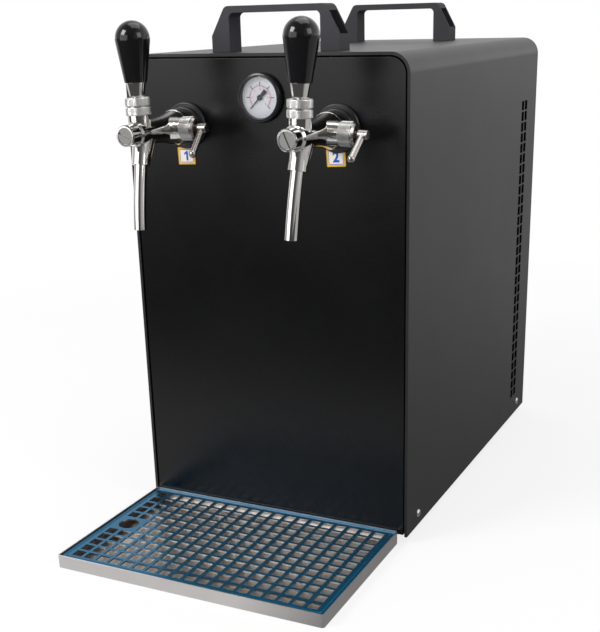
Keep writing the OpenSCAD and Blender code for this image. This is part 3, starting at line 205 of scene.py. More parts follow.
# gloss knob: deep black with the faintest ripple in its lacquer
def glossKnob(look):
    mat, sock, place, feed = newFinish("knobGloss", Specular_IOR_Level=look["specular"],
                                       Coat_Weight=look["coat"], Coat_Roughness=look["coatRough"])
    ripple = noise(sock, place, look["rippleScale"])
    feed("Base Color", ripple.blend(colour(*look["dark"]), colour(*look["light"])))
    feed("Roughness", look["rough"] + (ripple - 0.5) * 0.05)
    feed("Normal", bumped(sock, ripple, look["ripple"], bumpDepth["knob"]))
    return mat


knobLook = dict(dark=(0.004, 0.004, 0.0045), light=(0.007, 0.007, 0.008), rough=0.12, specular=0.35,
                coat=0.25, coatRough=0.03, rippleScale=120, ripple=0.05)
knobGloss = glossKnob(knobLook)


# plated and bare metals: tone, gloss and fine lines differ
def metal(name, look):
    mat, sock, place, feed = newFinish(name, Metallic=1.0, Anisotropic=look.get("anisotropic", 0.0))
    line = noise(sock, stretched(sock, place, look["lines"]), 1.0, 4, 0.6)
    smear = noise(sock, place, 35, 3)
    tone = (line * 0.6 + smear * 0.4).clamped()
    uneven = (line - 0.5) * look["vary"] + (smear - 0.5) * look["vary"] * 0.6
    feed("Base Color", tone.blend(colour(*look["dark"]), colour(*look["light"])))
    feed("Roughness", (look["rough"] + uneven).clamped())
    if look.get("groove"):
        feed("Normal", bumped(sock, line, look["groove"], bumpDepth["metal"]))
    return mat


metals = {  # lines: how fine the noise is along X, Y and Z, so a low number draws it out
    "chrome": dict(dark=(0.74, 0.72, 0.69), light=(0.84, 0.82, 0.79), rough=0.09, vary=0.05,
                   lines=(60, 60, 60)),
    "spoutChrome": dict(dark=(0.72, 0.70, 0.67), light=(0.82, 0.80, 0.77), rough=0.07, vary=0.05,
                        lines=(500, 500, 40)),
    "satinRing": dict(dark=(0.68, 0.67, 0.65), light=(0.82, 0.81, 0.79), rough=0.34, vary=0.1,
                      lines=(900, 900, 120)),
    "plugTurned": dict(dark=(0.22, 0.22, 0.21), light=(0.42, 0.41, 0.40), rough=0.5, vary=0.2,
                       lines=(2600, 100, 240), groove=0.4),
    "traySteel": dict(dark=(0.66, 0.635, 0.62), light=(0.82, 0.795, 0.78), rough=0.36, vary=0.16,
                      lines=(14, 1500, 1500), groove=0.12, anisotropic=0.3),
    # darker steel of the tray floor: painted shade under the grid
    "trayFloorPaintedShade": dict(dark=(0.44, 0.41, 0.385), light=(0.58, 0.545, 0.52), rough=0.32, vary=0.16,
                      lines=(14, 1500, 1500), groove=0.12),
    # darker bare steel of the grid's edges: painted shade inside the holes and under the grid
    "gridEdgePaintedShade": dict(dark=(0.44, 0.42, 0.40), light=(0.56, 0.54, 0.52), rough=0.3, vary=0.12,
                     lines=(300, 300, 40)),
    "screwZinc": dict(dark=(0.55, 0.55, 0.54), light=(0.72, 0.72, 0.70), rough=0.28, vary=0.15,
                      lines=(300, 300, 300)),
    "galvanised": dict(dark=(0.36, 0.37, 0.38), light=(0.52, 0.53, 0.54), rough=0.45, vary=0.2,
                       lines=(70, 70, 70), groove=0.05),
    "castAluminium": dict(dark=(0.42, 0.43, 0.44), light=(0.58, 0.59, 0.6), rough=0.5, vary=0.2,
                          lines=(500, 500, 500), groove=0.3),
    "finAluminium": dict(dark=(0.46, 0.47, 0.48), light=(0.62, 0.63, 0.64), rough=0.38, vary=0.15,
                         lines=(40, 40, 700), groove=0.1),
    "copper": dict(dark=(0.50, 0.24, 0.14), light=(0.66, 0.34, 0.21), rough=0.32, vary=0.2,
                   lines=(90, 90, 90), groove=0.05),
    "stemSteel": dict(dark=(0.56, 0.56, 0.55), light=(0.70, 0.70, 0.69), rough=0.22, vary=0.12,
                      lines=(900, 900, 60), groove=0.08),
    "leverSatin": dict(dark=(0.40, 0.375, 0.35), light=(0.54, 0.51, 0.48), rough=0.26, vary=0.12,
                       lines=(300, 300, 300), groove=0.05),
    "shankBlackAndScrewShade": dict(dark=(0.025, 0.025, 0.026), light=(0.045, 0.045, 0.046), rough=0.36, vary=0.15,
                       lines=(300, 300, 300)),
}
steel = {key: metal(key, look) for key, look in metals.items()}


# blue film of the grid: smooth, a little cloudy, with fine handling marks
def gridBlue(look):
    mat, sock, place, feed = newFinish("gridBlue", Metallic=look["metallic"],
                                       Specular_IOR_Level=look["specular"],
                                       Coat_Weight=look["coat"], Coat_Roughness=look["coatRough"])
    marks = noise(sock, stretched(sock, place, look["marks"]), 1.0, 4, 0.6)
    cloud = noise(sock, place, look["cloudScale"])
    tone = (cloud * 0.6 + marks * 0.4).clamped()
    feed("Base Color", tone.blend(colour(*look["deep"]), colour(*look["pale"])))
    feed("Roughness", look["rough"] + (marks - 0.5) * 0.16)
    feed("Normal", bumped(sock, marks, look["scratch"], bumpDepth["film"]))
    return mat


filmLook = dict(deep=(0.0, 0.095, 0.20), pale=(0.002, 0.15, 0.29), rough=0.26, metallic=0.72, specular=0.3,
                coat=0.05, coatRough=0.12, marks=(30, 260, 60), scratch=0.06, cloudScale=14)
gridFilm = gridBlue(filmLook)


# plain prints: paper and ink with a little tooth
def ink(name, tone, rough=0.55, specular=0.2):
    mat, sock, place, feed = newFinish(name, Specular_IOR_Level=specular)
    tooth = noise(sock, place, 900)
    low = tuple(c * 0.9 for c in tone)
    feed("Base Color", tooth.blend(colour(*low), colour(*tone)))
    feed("Roughness", rough + (tooth - 0.5) * 0.1)
    return mat


inks = {
    "dialWhite": ink("dialWhite", (0.62, 0.63, 0.68)),
    "black": ink("inkBlack", (0.02, 0.02, 0.022)),
    "red": ink("inkRed", (0.62, 0.05, 0.08)),
    "paper": ink("paperWhite", (0.76, 0.68, 0.64), 0.4),
    "amber": ink("paperAmber", (0.66, 0.40, 0.010), 0.4, 0.04),
    "blue": ink("inkBlue", (0.004, 0.10, 0.45), 0.4, 0.04),
    "grey": ink("inkGrey", (0.62, 0.62, 0.62)),
    "needle": ink("needleBlack", (0.008, 0.008, 0.009), 0.5, 0.08),
}


def clearLens(look):  # all but invisible, with a breath of haze in its gloss
    mat, sock, place, feed = newFinish("lensClear", Alpha=look["alpha"], IOR=look["ior"])
    haze = noise(sock, place, look["hazeScale"])
    feed("Base Color", haze.blend(colour(*look["cool"]), colour(1, 1, 1)))
    feed("Roughness", look["rough"] + haze * look["haze"])
    return mat


lensClear = clearLens(dict(alpha=0.03, ior=1.5, cool=(0.9, 0.92, 0.95), rough=0.03, haze=0.03, hazeScale=300))
print("finishes:", len(bpy.data.materials))


def linked(name, mesh, *mats):
    piece = bpy.data.objects.new(name, mesh)
    bpy.context.scene.collection.objects.link(piece)
    for mat in mats:
        piece.data.materials.append(mat)
    return piece


softEdge = dict(merge=0.002 * mm, melt=math.radians(0.03), limit=math.radians(32), segments=2, flatWeight=50)


# rounded copy of a CAD node: loose triangles merged, flat areas melted, edges softened
def softCopy(name, mat, edge):
    mesh = nodes[name].data.copy()
    mesh.materials.clear()
    bm = bmesh.new()
    bm.from_mesh(mesh)
    bmesh.ops.remove_doubles(bm, verts=bm.verts, dist=softEdge["merge"])
    bmesh.ops.dissolve_limit(bm, angle_limit=softEdge["melt"], verts=bm.verts, edges=bm.edges)
    for face in bm.faces:
        face.smooth = True
        face.material_index = 0
    bm.to_mesh(mesh)
    bm.free()
    piece = linked(name + ".soft", mesh, mat)
    soft = piece.modifiers.new("soft", "BEVEL")
    soft.width = edge * mm
    soft.segments = softEdge["segments"]
    soft.limit_method = "ANGLE"
    soft.angle_limit = softEdge["limit"]
    soft.use_clamp_overlap = True
    flat = piece.modifiers.new("flat", "WEIGHTED_NORMAL")  # big flats keep their own normal
    flat.weight = softEdge["flatWeight"]
    flat.keep_sharp = True
    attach(piece, bodyOf[name])
    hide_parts(name)
    return piece


# node name, finish and edge softness in millimetres
softPieces = [
    ("wrap_cover", coat["wrap"], 0.4), ("front_panel", coat["front"], 0.5),
    ("rear_panel", coat["front"], 0.4),
    ("carry_handle_front", plastic["handle"], 1.0), ("carry_handle_rear", plastic["handle"], 1.0),
    ("rubber_feet", plastic["rubber"], 0.4), ("casing_screws", steel["screwZinc"], 0.15),
    # the handle screws take the black shank finish as painted shade, so no glint shows through the gap at the
    # panel's top
    ("handle_screws", steel["shankBlackAndScrewShade"], 0.2), ("gauge_case", plastic["bezel"], 0.5),
    ("gauge_needle", inks["needle"], 0.1), ("drip_tray", steel["traySteel"], 0.35),
    ("drip_grid", gridFilm, 0.3), ("line_unions", plastic["fitting"], 0.5),
    ("beer_collet_left", plastic["collet"], 0.3), ("gas_collet", plastic["collet"], 0.3),
    ("beer_collet_right", plastic["collet"], 0.3), ("thermostat_knob", plastic["control"], 0.4),
    ("switch_frame", plastic["control"], 0.4), ("mains_rocker", plastic["rocker"], 0.5),
    ("mains_inlet", plastic["control"], 0.4),
]
for side in sides:
    softPieces += [
        ("tap_flange_" + side, plastic["tapBlack"], 0.5), ("tap_shank_" + side, steel["shankBlackAndScrewShade"], 0.3),
        ("tap_body_" + side, steel["chrome"], 0.35), ("tap_plug_" + side, steel["plugTurned"], 0.25),
        ("tap_spout_" + side, steel["spoutChrome"], 0.2), ("bonnet_nut_" + side, steel["satinRing"], 0.25),
        ("bonnet_ring_" + side, steel["satinRing"], 0.25), ("lever_stem_" + side, steel["stemSteel"], 0.2),
        ("ferrule_" + side, steel["chrome"], 0.3), ("tap_knob_" + side, knobGloss, 0.4),
        ("flow_lever_" + side, steel["leverSatin"], 0.25),
    ]
softened = {name: softCopy(name, mat, edge) for name, mat, edge in softPieces}
print("softened pieces:", len(softened))


def secondFinish(name, mat, chosen):  # gives the chosen faces of a softened piece another finish
    mesh = softened[name].data
    mesh.materials.append(mat)
    for face in mesh.polygons:
        if chosen(face):
            face.material_index = 1


# the tray's inner floor under the grid is given darker steel than its folded sides: painted shade under the grid
tray = dict(floorBelow=6 * mm, upright=0.9)
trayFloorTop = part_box("drip_tray")[0].z + tray["floorBelow"]
secondFinish("drip_tray", steel["trayFloorPaintedShade"],
             lambda face: face.normal.z > tray["upright"] and face.center.z < trayFloorTop)

# the blue film is on the grid's top only, its punched edges and underside are bare steel, given a darker tone as
# painted shade inside the holes and under the grid
grid = dict(upright=0.5)
secondFinish("drip_grid", steel["gridEdgePaintedShade"], lambda face: face.normal.z < grid["upright"])
print("pieces with two finishes: 2")

# nodes that keep their CAD mesh and only get a finish
plainPieces = {
    # the base pan wears the black machine coat as painted shade, so the lowest side vents look dark
    "base_pan": coat["machine"], "shank_nuts": steel["screwZinc"], "gauge_dial": inks["dialWhite"],
    "gauge_lens": lensClear, "thermostat": plastic["ivory"], "cold_block": steel["castAluminium"],
    "foam_jacket": plastic["foam"], "compressor": coat["machine"], "condenser": steel["finAluminium"],
    "fan_frame": steel["galvanised"], "fan_blades": plastic["control"], "air_pump": steel["castAluminium"],
    "beer_lines": plastic["tube"], "service_pipes": steel["copper"],
    "valve_plunger_left": plastic["ivory"], "valve_plunger_right": plastic["ivory"],
}
for name, mat in plainPieces.items():
    nodes[name].data.materials.clear()
    nodes[name].data.materials.append(mat)
print("plain pieces:", len(plainPieces))


# Geometry Nodes: a tree with named inputs, run once and turned into a plain mesh
def newTree(name, inputs):
    tree = bpy.data.node_groups.new(name, "GeometryNodeTree")
    tree.interface.new_socket("Geometry", in_out="OUTPUT", socket_type="NodeSocketGeometry")
    for label, kind in inputs.items():
        tree.interface.new_socket(label, in_out="INPUT", socket_type="NodeSocket" + kind)
    given = tree.nodes.new("NodeGroupInput")
    sock = Sock(tree)
    return tree, sock, {label: Sock(tree, given.outputs[label]) for label in inputs}


def endTree(tree, sock, shape, mat):
    real = sock.make("GeometryNodeRealizeInstances", None, {"Geometry": shape})
    done = sock.make("GeometryNodeSetMaterial", None, {"Geometry": real, "Material": mat})
    sock.plug(tree.nodes.new("NodeGroupOutput").inputs[0], done)


# runs the tree with these values, named as its inputs are but in small letters, and puts the mesh at place
def grown(name, tree, place, **values):
    carrier = linked(name + ".raw", bpy.data.meshes.new(name))
    mod = carrier.modifiers.new("grow", "NODES")
    mod.node_group = tree
    for item in tree.interface.items_tree:
        if item.in_out == "INPUT":
            mod[item.identifier] = values[item.name.lower()]
    bpy.context.view_layer.update()
    shaped = bpy.data.meshes.new_from_object(carrier.evaluated_get(bpy.context.evaluated_depsgraph_get()))
    carrier.modifiers.remove(mod)
    bpy.data.objects.remove(carrier)
    shaped.transform(place)
    return linked(name, shaped)


# rows of small pyramids round a ring, every second row half a step on
def knurlTree():
    tree, sock, given = newTree("knurlRing", {
        "Radius": "Float", "Count": "Int", "Rows": "Int", "Pitch": "Float", "Size": "Float", "Depth": "Float",
        "Material": "Material"})
    points = sock.make("GeometryNodeMeshGrid", None,
                       {"Vertices X": given["Count"], "Vertices Y": given["Rows"]})
    index = sock.make("GeometryNodeInputIndex")
    row = index % given["Rows"]
    column = sock.maths("FLOOR", index / given["Rows"])
    turn = (column + (row % 2) * 0.5) * (2 * math.pi) / given["Count"]
    level = (row - (given["Rows"] - 1) * 0.5) * given["Pitch"]
    out = sock.make("ShaderNodeCombineXYZ", None,
                    {"X": sock.maths("COSINE", turn), "Y": sock.maths("SINE", turn)})
    reach = sock.make("ShaderNodeVectorMath", {"operation": "SCALE"}, {0: out, "Scale": given["Radius"]})
    lift = sock.make("ShaderNodeCombineXYZ", None, {"Z": level})
    spot = sock.make("ShaderNodeVectorMath", {"operation": "ADD"}, {0: reach, 1: lift})
    moved = sock.make("GeometryNodeSetPosition", None, {"Geometry": points, "Position": spot})
    tooth = sock.make("GeometryNodeMeshCone", {"fill_type": "NONE"}, {
        "Vertices": 4, "Radius Top": 0.0, "Radius Bottom": given["Size"], "Depth": given["Depth"]})
    facing = sock.make("FunctionNodeAlignRotationToVector", {"axis": "Z"}, {"Vector": out})
    placed = sock.make("GeometryNodeInstanceOnPoints", None,
                       {"Points": moved, "Instance": tooth, "Rotation": facing})
    endTree(tree, sock, placed, given["Material"])
    return tree


knurlNodes = knurlTree()


def tapLean(side):  # the tap's own left-to-right axis, and the turn that leans a piece with it
    axis = Vector(joints["tap_tilt_" + side]["axis"])
    return axis, Quaternion((0, 1, 0), math.atan2(-axis.z, axis.x)).to_matrix().to_4x4()


# knurl of the two rings under each handle; the upper ring's spigot hangs below the ring proper
knurl = dict(count=84, rows=9, pitch=0.72 * mm, size=0.5 * mm, depth=0.22 * mm)
knurlSink = 0.04 * mm
ringRise = {"bonnet_nut_": 0.0, "bonnet_ring_": 0.5 * mm}
for side in sides:
    lean = tapLean(side)[1]
    for ring, rise in ringRise.items():
        lo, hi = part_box(ring + side)
        place = Matrix.Translation((lo + hi) / 2 + Vector((0, 0, rise))) @ lean
        piece = grown("knurl_" + ring + side, knurlNodes, place, radius=(hi.y - lo.y) / 2 - knurlSink,
                      material=steel["satinRing"], **knurl)
        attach(piece, "casing")
print("knurled rings:", len(sides) * len(ringRise))


def bridge(bm, ring, ahead):  # quads between two rings with as many points
    faces = []
    for k in range(len(ring)):
        j = (k + 1) % len(ring)
        faces.append(bm.faces.new((ring[k], ring[j], ahead[j], ahead[k])))
    return faces


def meshOf(bm, name):  # ends a closed bmesh as a plain mesh, its faces turned outwards
    bmesh.ops.recalc_face_normals(bm, faces=bm.faces)
    mesh = bpy.data.meshes.new(name)
    bm.to_mesh(mesh)
    bm.free()
    return mesh


# revolves (radius, height, finish) points about Z and closes the last on the first
def turned(name, profile, facets, mats):
    bm = bmesh.new()
    angles = [2 * math.pi * k / facets for k in range(facets)]
    rings = [[bm.verts.new((radius * math.cos(a), radius * math.sin(a), height)) for a in angles]
             for radius, height, finish in profile]
    for n, ring in enumerate(rings):
        for face in bridge(bm, ring, rings[(n + 1) % len(rings)]):
            face.smooth = True
            face.material_index = profile[n][2]
    mesh = meshOf(bm, name)
    mesh.set_sharp_from_angle(angle=softEdge["limit"])
    return linked(name, mesh, *mats)


# gland nut: a turned barrel inside the CAD nut's hexagon, polished collar, knurled waist and satin rim
gland = dict(radius=11.6 * mm, bore=3.6 * mm, collar=3.4 * mm, collarStep=0.3 * mm, groove=0.3 * mm,
             rim=3.6 * mm, chamfer=1.8 * mm, facets=72)
glandKnurl = dict(count=88, rows=15, pitch=0.76 * mm, size=0.52 * mm, depth=0.26 * mm)
polished, knurled, satin = range(3)
for side in sides:
    name = "gland_nut_" + side
    axis, lean = tapLean(side)
    reach = [axis.dot(v.co) for v in nodes[name].data.vertices]
    lo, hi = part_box(name)
    middle = (lo + hi) / 2
    start = middle + axis * (min(reach) - axis.dot(middle))
    place = Matrix.Translation(start) @ lean @ Matrix.Rotation(math.radians(90), 4, "Y")
    length = max(reach) - min(reach)
    r, groove, chamfer = gland["radius"], gland["groove"], gland["chamfer"]
    collarR = r - gland["collarStep"]
    waistFrom, waistTo = gland["collar"] + groove, length - gland["rim"]
    profile = [
        (gland["bore"], 0, polished), (collarR, 0, polished), (collarR, gland["collar"], polished),
        (r, waistFrom, knurled), (r, waistTo, satin), (r - groove, waistTo + groove, satin),
        (r, waistTo + 2 * groove, satin), (r, length - chamfer, satin), (r - chamfer, length, satin),
        (gland["bore"], length, satin),
    ]
    piece = turned("glandBarrel_" + side, profile, gland["facets"],
                   [steel["chrome"], steel["satinRing"], steel["leverSatin"]])
    piece.data.transform(place)
    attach(piece, bodyOf[name])
    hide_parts(name)
    waist = Matrix.Translation((0, 0, (waistFrom + waistTo) / 2))
    piece = grown("knurl_" + name, knurlNodes, place @ waist, radius=r - knurlSink,
                  material=steel["satinRing"], **glandKnurl)
    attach(piece, bodyOf[name])
print("gland nuts:", len(sides))


# short strokes along an arc that faces -Y, first stroke at Start, clockwise through Sweep
def strokeTree():
    tree, sock, given = newTree("strokesOnArc", {
        "Radius": "Float", "Count": "Int", "Start": "Float", "Sweep": "Float", "Length": "Float",
        "Width": "Float", "Height": "Float", "Material": "Material"})
    line = sock.make("GeometryNodeMeshLine", None, {"Count": given["Count"]})
    index = sock.make("GeometryNodeInputIndex")
    turn = given["Start"] + given["Sweep"] * index / (given["Count"] - 1)
    out = sock.make("ShaderNodeCombineXYZ", None,
                    {"X": sock.maths("SINE", turn), "Z": sock.maths("COSINE", turn)})
    spot = sock.make("ShaderNodeVectorMath", {"operation": "SCALE"}, {0: out, "Scale": given["Radius"]})
    moved = sock.make("GeometryNodeSetPosition", None, {"Geometry": line, "Position": spot})
    size = sock.make("ShaderNodeCombineXYZ", None,
                     {"X": given["Width"], "Y": given["Height"], "Z": given["Length"]})
    bar = sock.make("GeometryNodeMeshCube", None, {"Size": size})
    spin = sock.make("FunctionNodeEulerToRotation", None,
                     {"Euler": sock.make("ShaderNodeCombineXYZ", None, {"Y": turn})})
    placed = sock.make("GeometryNodeInstanceOnPoints", None,
                       {"Points": moved, "Instance": bar, "Rotation": spin})
    endTree(tree, sock, placed, given["Material"])
    return tree


strokeNodes = strokeTree()


# a digit as a plain mesh in X and Z, facing -Y, centred; fat thickens its lines
def flatText(body, size, depth, fat=0.0):
    curve = bpy.data.curves.new("digits", "FONT")
    curve.body = body
    curve.size = size
    curve.offset = fat
    curve.align_x = "CENTER"
    curve.align_y = "CENTER"
    curve.extrude = depth / 2
    carrier = linked("digits.raw", curve)
    bpy.context.view_layer.update()
    mesh = bpy.data.meshes.new_from_object(carrier.evaluated_get(bpy.context.evaluated_depsgraph_get()))
    bpy.data.objects.remove(carrier)
    mesh.transform(Matrix.Rotation(math.radians(90), 4, "X"))
    return mesh


def joined(name, parts, mats):  # several meshes, each with the index of its finish, as one piece
    bm = bmesh.new()
    for mesh, index in parts:
        start = len(bm.faces)
        bm.from_mesh(mesh)
        bm.faces.ensure_lookup_table()
        for face in bm.faces[start:]:
            face.material_index = index
    mesh = bpy.data.meshes.new(name)
    bm.to_mesh(mesh)
    bm.free()
    return linked(name, mesh, *mats)


# gauge print: black outer strokes, red inner arc with its fine strokes and numbers
dial = dict(height=0.12 * mm, start=math.radians(-135), sweep=math.radians(270))
dialNumbers = dict(count=7, ring=8.4 * mm, size=3.4 * mm)
dialStrokes = {
    "dialMajors": ("black", dict(radius=13.6 * mm, count=7, length=3.7 * mm, width=0.8 * mm)),
    "dialMinors": ("black", dict(radius=12.3 * mm, count=61, length=0.9 * mm, width=0.2 * mm)),
    "dialRedArc": ("red", dict(radius=11.3 * mm, count=181, length=0.5 * mm, width=0.4 * mm)),
    "dialRedStrokes": ("red", dict(radius=10.7 * mm, count=13, length=1.5 * mm, width=0.4 * mm)),
}
lo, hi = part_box("gauge_dial")
dialPlace = Matrix.Translation(((lo.x + hi.x) / 2, lo.y, (lo.z + hi.z) / 2))
for name, (tone, look) in dialStrokes.items():
    piece = grown(name, strokeNodes, dialPlace, material=inks[tone], **look, **dial)
    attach(piece, "casing")
numbers = []
for step in range(dialNumbers["count"]):
    turn = dial["start"] + dial["sweep"] * step / (dialNumbers["count"] - 1)
    mesh = flatText(str(step), dialNumbers["size"], dial["height"])
    spot = Vector((math.sin(turn), 0, math.cos(turn))) * dialNumbers["ring"]
    mesh.transform(dialPlace @ Matrix.Translation(spot))
    numbers.append((mesh, 0))
piece = joined("dialNumbers", numbers, [inks["red"]])
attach(piece, "casing")
print("gauge print: strokes and", len(numbers), "numbers")


cornerPoints = 7
leastCorner = 0.2 * mm


def roundedLoop(width, height, radius):  # points of a rectangle with round corners
    points = []
    for cx, cz, first in ((1, 1, 0), (-1, 1, 90), (-1, -1, 180), (1, -1, 270)):
        for k in range(cornerPoints):
            a = math.radians(first + 90 * k / (cornerPoints - 1))
            x = cx * (width / 2 - radius) + radius * math.cos(a)
            z = cz * (height / 2 - radius) + radius * math.sin(a)
            points.append((x, z))
    return points


# a flat outline in X and Z, facing -Y, its back on y = 0; a hole with as many points makes it a frame
def slab(outline, thick, hole=None):
    bm = bmesh.new()
    front, back = [[bm.verts.new((x, y, z)) for x, z in outline] for y in (-thick, 0)]
    bridge(bm, front, back)
    if hole:
        frontIn, backIn = [[bm.verts.new((x, y, z)) for x, z in hole] for y in (-thick, 0)]
        bridge(bm, front, frontIn)
        bridge(bm, back, backIn)
        bridge(bm, frontIn, backIn)
    else:
        bm.faces.new(front)
        bm.faces.new(back)
    return meshOf(bm, "slab")


# a slab with round corners, or a frame as wide as its border
def plate(width, height, radius, thick, border=0.0):
    outer = roundedLoop(width, height, radius)
    if not border:
        return slab(outer, thick)
    inner = roundedLoop(width - 2 * border, height - 2 * border, max(radius - border, leastCorner))
    return slab(outer, thick, inner)


def ridgeFrame(width, depth, look):  # a closed low ridge that runs round a rectangle, its foot on z = 0
    bm = bmesh.new()
    rings = []
    for inset, z in ((0, 0), (look["width"] / 2, look["rise"]), (look["width"], 0)):
        loop = roundedLoop(width - 2 * inset, depth - 2 * inset, look["corner"] - inset)
        rings.append([bm.verts.new((x, y, z)) for x, y in loop])
    for n in range(3):
        bridge(bm, rings[n], rings[(n + 1) % 3])
    return meshOf(bm, "ridge")


# fine crease pressed round the border of the grid
crease = dict(inset=3.4 * mm, corner=3.0 * mm, width=1.3 * mm, rise=0.3 * mm)
lo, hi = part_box("drip_grid")
ridge = ridgeFrame(hi.x - lo.x - 2 * crease["inset"], hi.y - lo.y - 2 * crease["inset"], crease)
ridge.transform(Matrix.Translation(((lo.x + hi.x) / 2, (lo.y + hi.y) / 2, hi.z)))
piece = linked("gridCrease", ridge, gridFilm)
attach(piece, bodyOf["drip_grid"])
print("grid crease: 1")

# number labels on the front panel: amber edge, white field, thin blue frame, blue digit
label = dict(width=20.5 * mm, height=17.8 * mm, corner=0.6 * mm, thick=0.12 * mm, layer=0.05 * mm,
             field=17.0 * mm, fieldHeight=14.4 * mm, frameInset=0.4 * mm, frameCorner=1.0 * mm,
             frameWidth=0.6 * mm, digit=14.0 * mm, fat=0.5 * mm)
labels = {  # millimetres and degrees
    "1": dict(x=-90.4, z=405.4, turn=-2.0),
    "2": dict(x=82.2, z=408.6, turn=-3.0),
}
boldOne = [(1.8, -4.9), (1.8, 4.9), (0.2, 4.9), (-2.8, 2.7),  # the font's own is a thin bar
           (-2.8, 0.9), (-0.4, 2.3), (-0.4, -4.9)]
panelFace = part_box("front_panel")[0].y
fieldTop = label["thick"] + label["layer"]
printTop = fieldTop + label["layer"]
for digit, spot in labels.items():
    if digit == "1":
        figure = slab([(x * mm, z * mm) for x, z in boldOne], printTop)
    else:
        figure = flatText(digit, label["digit"], label["layer"] * 2, label["fat"])
        figure.transform(Matrix.Translation((0, label["layer"] - printTop, 0)))
    frameSize = [label[key] - 2 * label["frameInset"] for key in ("field", "fieldHeight")]
    stack = [
        (plate(label["width"], label["height"], label["corner"], label["thick"]), 0),
        (plate(label["field"], label["fieldHeight"], label["corner"], fieldTop), 1),
        (plate(*frameSize, label["frameCorner"], printTop, label["frameWidth"]), 2),
        (figure, 2),
    ]
    turn = Matrix.Rotation(math.radians(spot["turn"]), 4, "Y")
    place = Matrix.Translation((spot["x"] * mm, panelFace, spot["z"] * mm)) @ turn
    for mesh, index in stack:
        mesh.transform(place)
    piece = joined("label" + digit, stack, [inks["amber"], inks["paper"], inks["blue"]])
    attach(piece, "casing")
print("labels:", len(labels))

# printed scale round the thermostat knob, white index in its groove
scale = dict(radius=21.5 * mm, count=9, start=math.radians(-135), sweep=math.radians(270), length=3 * mm,
             width=0.8 * mm, height=0.12 * mm)
index = dict(width=1.2 * mm, length=9.5 * mm, corner=0.3 * mm, thick=0.1 * mm, fromAxis=8.6 * mm,
             depth=0.9 * mm)
lo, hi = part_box("thermostat_knob")
middle = (lo + hi) / 2
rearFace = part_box("rear_panel")[1].y
turnBack = Matrix.Rotation(math.radians(180), 4, "Z")
piece = grown("thermostatScale", strokeNodes, Matrix.Translation((middle.x, rearFace, middle.z)) @ turnBack,
              material=inks["grey"], **scale)
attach(piece, "casing")
mesh = plate(index["width"], index["length"], index["corner"], index["thick"])
spot = Vector((middle.x, hi.y - index["depth"], middle.z + index["fromAxis"]))
mesh.transform(Matrix.Translation(spot) @ turnBack)
piece = joined("thermostatIndex", [(mesh, 0)], [inks["paper"]])
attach(piece, "thermostat_dial")
print("thermostat scale:", scale["count"], "strokes")


def markPlace(name, x, z):  # a place on the back of a CAD node, turned to face out of it
    mesh = nodes[name].data
    skin = BVHTree.FromPolygons([v.co for v in mesh.vertices], [p.vertices for p in mesh.polygons])
    spot, normal = skin.ray_cast(Vector((x, 1, z)), Vector((0, -1, 0)))[:2]
    return Matrix.Translation(spot) @ normal.to_track_quat("-Y", "Z").to_matrix().to_4x4()


# on and off marks of the mains rocker
marks = dict(apart=6.5 * mm, bar=(0.9 * mm, 5.4 * mm), barCorner=0.2 * mm, ring=4.8 * mm,
             ringCorner=2.352 * mm, line=0.8 * mm, thick=0.1 * mm)
lo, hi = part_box("mains_rocker")
middle = (lo + hi) / 2
bar = plate(*marks["bar"], marks["barCorner"], marks["thick"])
bar.transform(markPlace("mains_rocker", middle.x, middle.z + marks["apart"]))
ring = plate(marks["ring"], marks["ring"], marks["ringCorner"], marks["thick"], marks["line"])
ring.transform(markPlace("mains_rocker", middle.x, middle.z - marks["apart"]))
piece = joined("rockerMarks", [(bar, 0), (ring, 0)], [inks["paper"]])
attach(piece, "rocker")
print("rocker marks: 2")


# white to the camera, with the shadow showing near the object; in metal and gloss the floor glows as painted
# light, dark in front, dimmer beside the right-hand side and bright behind
def whiteFloor(look):
    mat = bpy.data.materials.new("floorWhite")
    mat.use_nodes = True
    tree = mat.node_tree
    tree.nodes.clear()
    sock = Sock(tree)
    path = {name: sock.make("ShaderNodeLightPath", out=name)
            for name in ("Is Camera Ray", "Is Glossy Ray", "Is Transmission Ray")}
    place = sock.make("ShaderNodeTexCoord", out="Object")
    across, along = [sock.make("ShaderNodeSeparateXYZ", None, {"Vector": place}, out=axis) for axis in "XY"]
    far = sock.make("ShaderNodeVectorMath", {"operation": "LENGTH"}, {0: place}, out="Value")

    def ramp(value, start, run):
        return ((value - start) / run).clamped()

    seen = look["seen"] + ramp(far, look["near"], look["far"] - look["near"]) * (1 - look["seen"])
    mirrored = ramp(along, look["darkY"], look["darkRun"])  # the floor's painted glow darkens well in front of the object
    faded = ramp(far, look["sideNear"], look["sideFar"] - look["sideNear"]) * look["sideFade"]
    beside = ramp(across, look["sideX"], look["sideRun"]) * (1 - faded)  # and beside the right-hand side
    backGlowInReflections = look["backGlowInReflections"] * (1 - beside * look["sideDim"])
    # the glow the floor shows in glossy rays only: painted light that sets the reflections
    gloss = look["frontGlowInReflections"] + mirrored * (backGlowInReflections - look["frontGlowInReflections"])
    straight = path["Is Camera Ray"] + path["Is Transmission Ray"]
    strength = straight.clamped() + path["Is Glossy Ray"] * gloss
    share = (straight * seen + path["Is Glossy Ray"]).clamped()
    plain = sock.make("ShaderNodeBsdfDiffuse", None, {"Color": colour(*look["tone"])})
    white = sock.make("ShaderNodeEmission", None, {"Color": colour(1, 1, 1), "Strength": strength})
    mixed = sock.make("ShaderNodeMixShader", None, {0: share, 1: plain, 2: white})
    sock.plug(tree.nodes.new("ShaderNodeOutputMaterial").inputs["Surface"], mixed)
    return mat


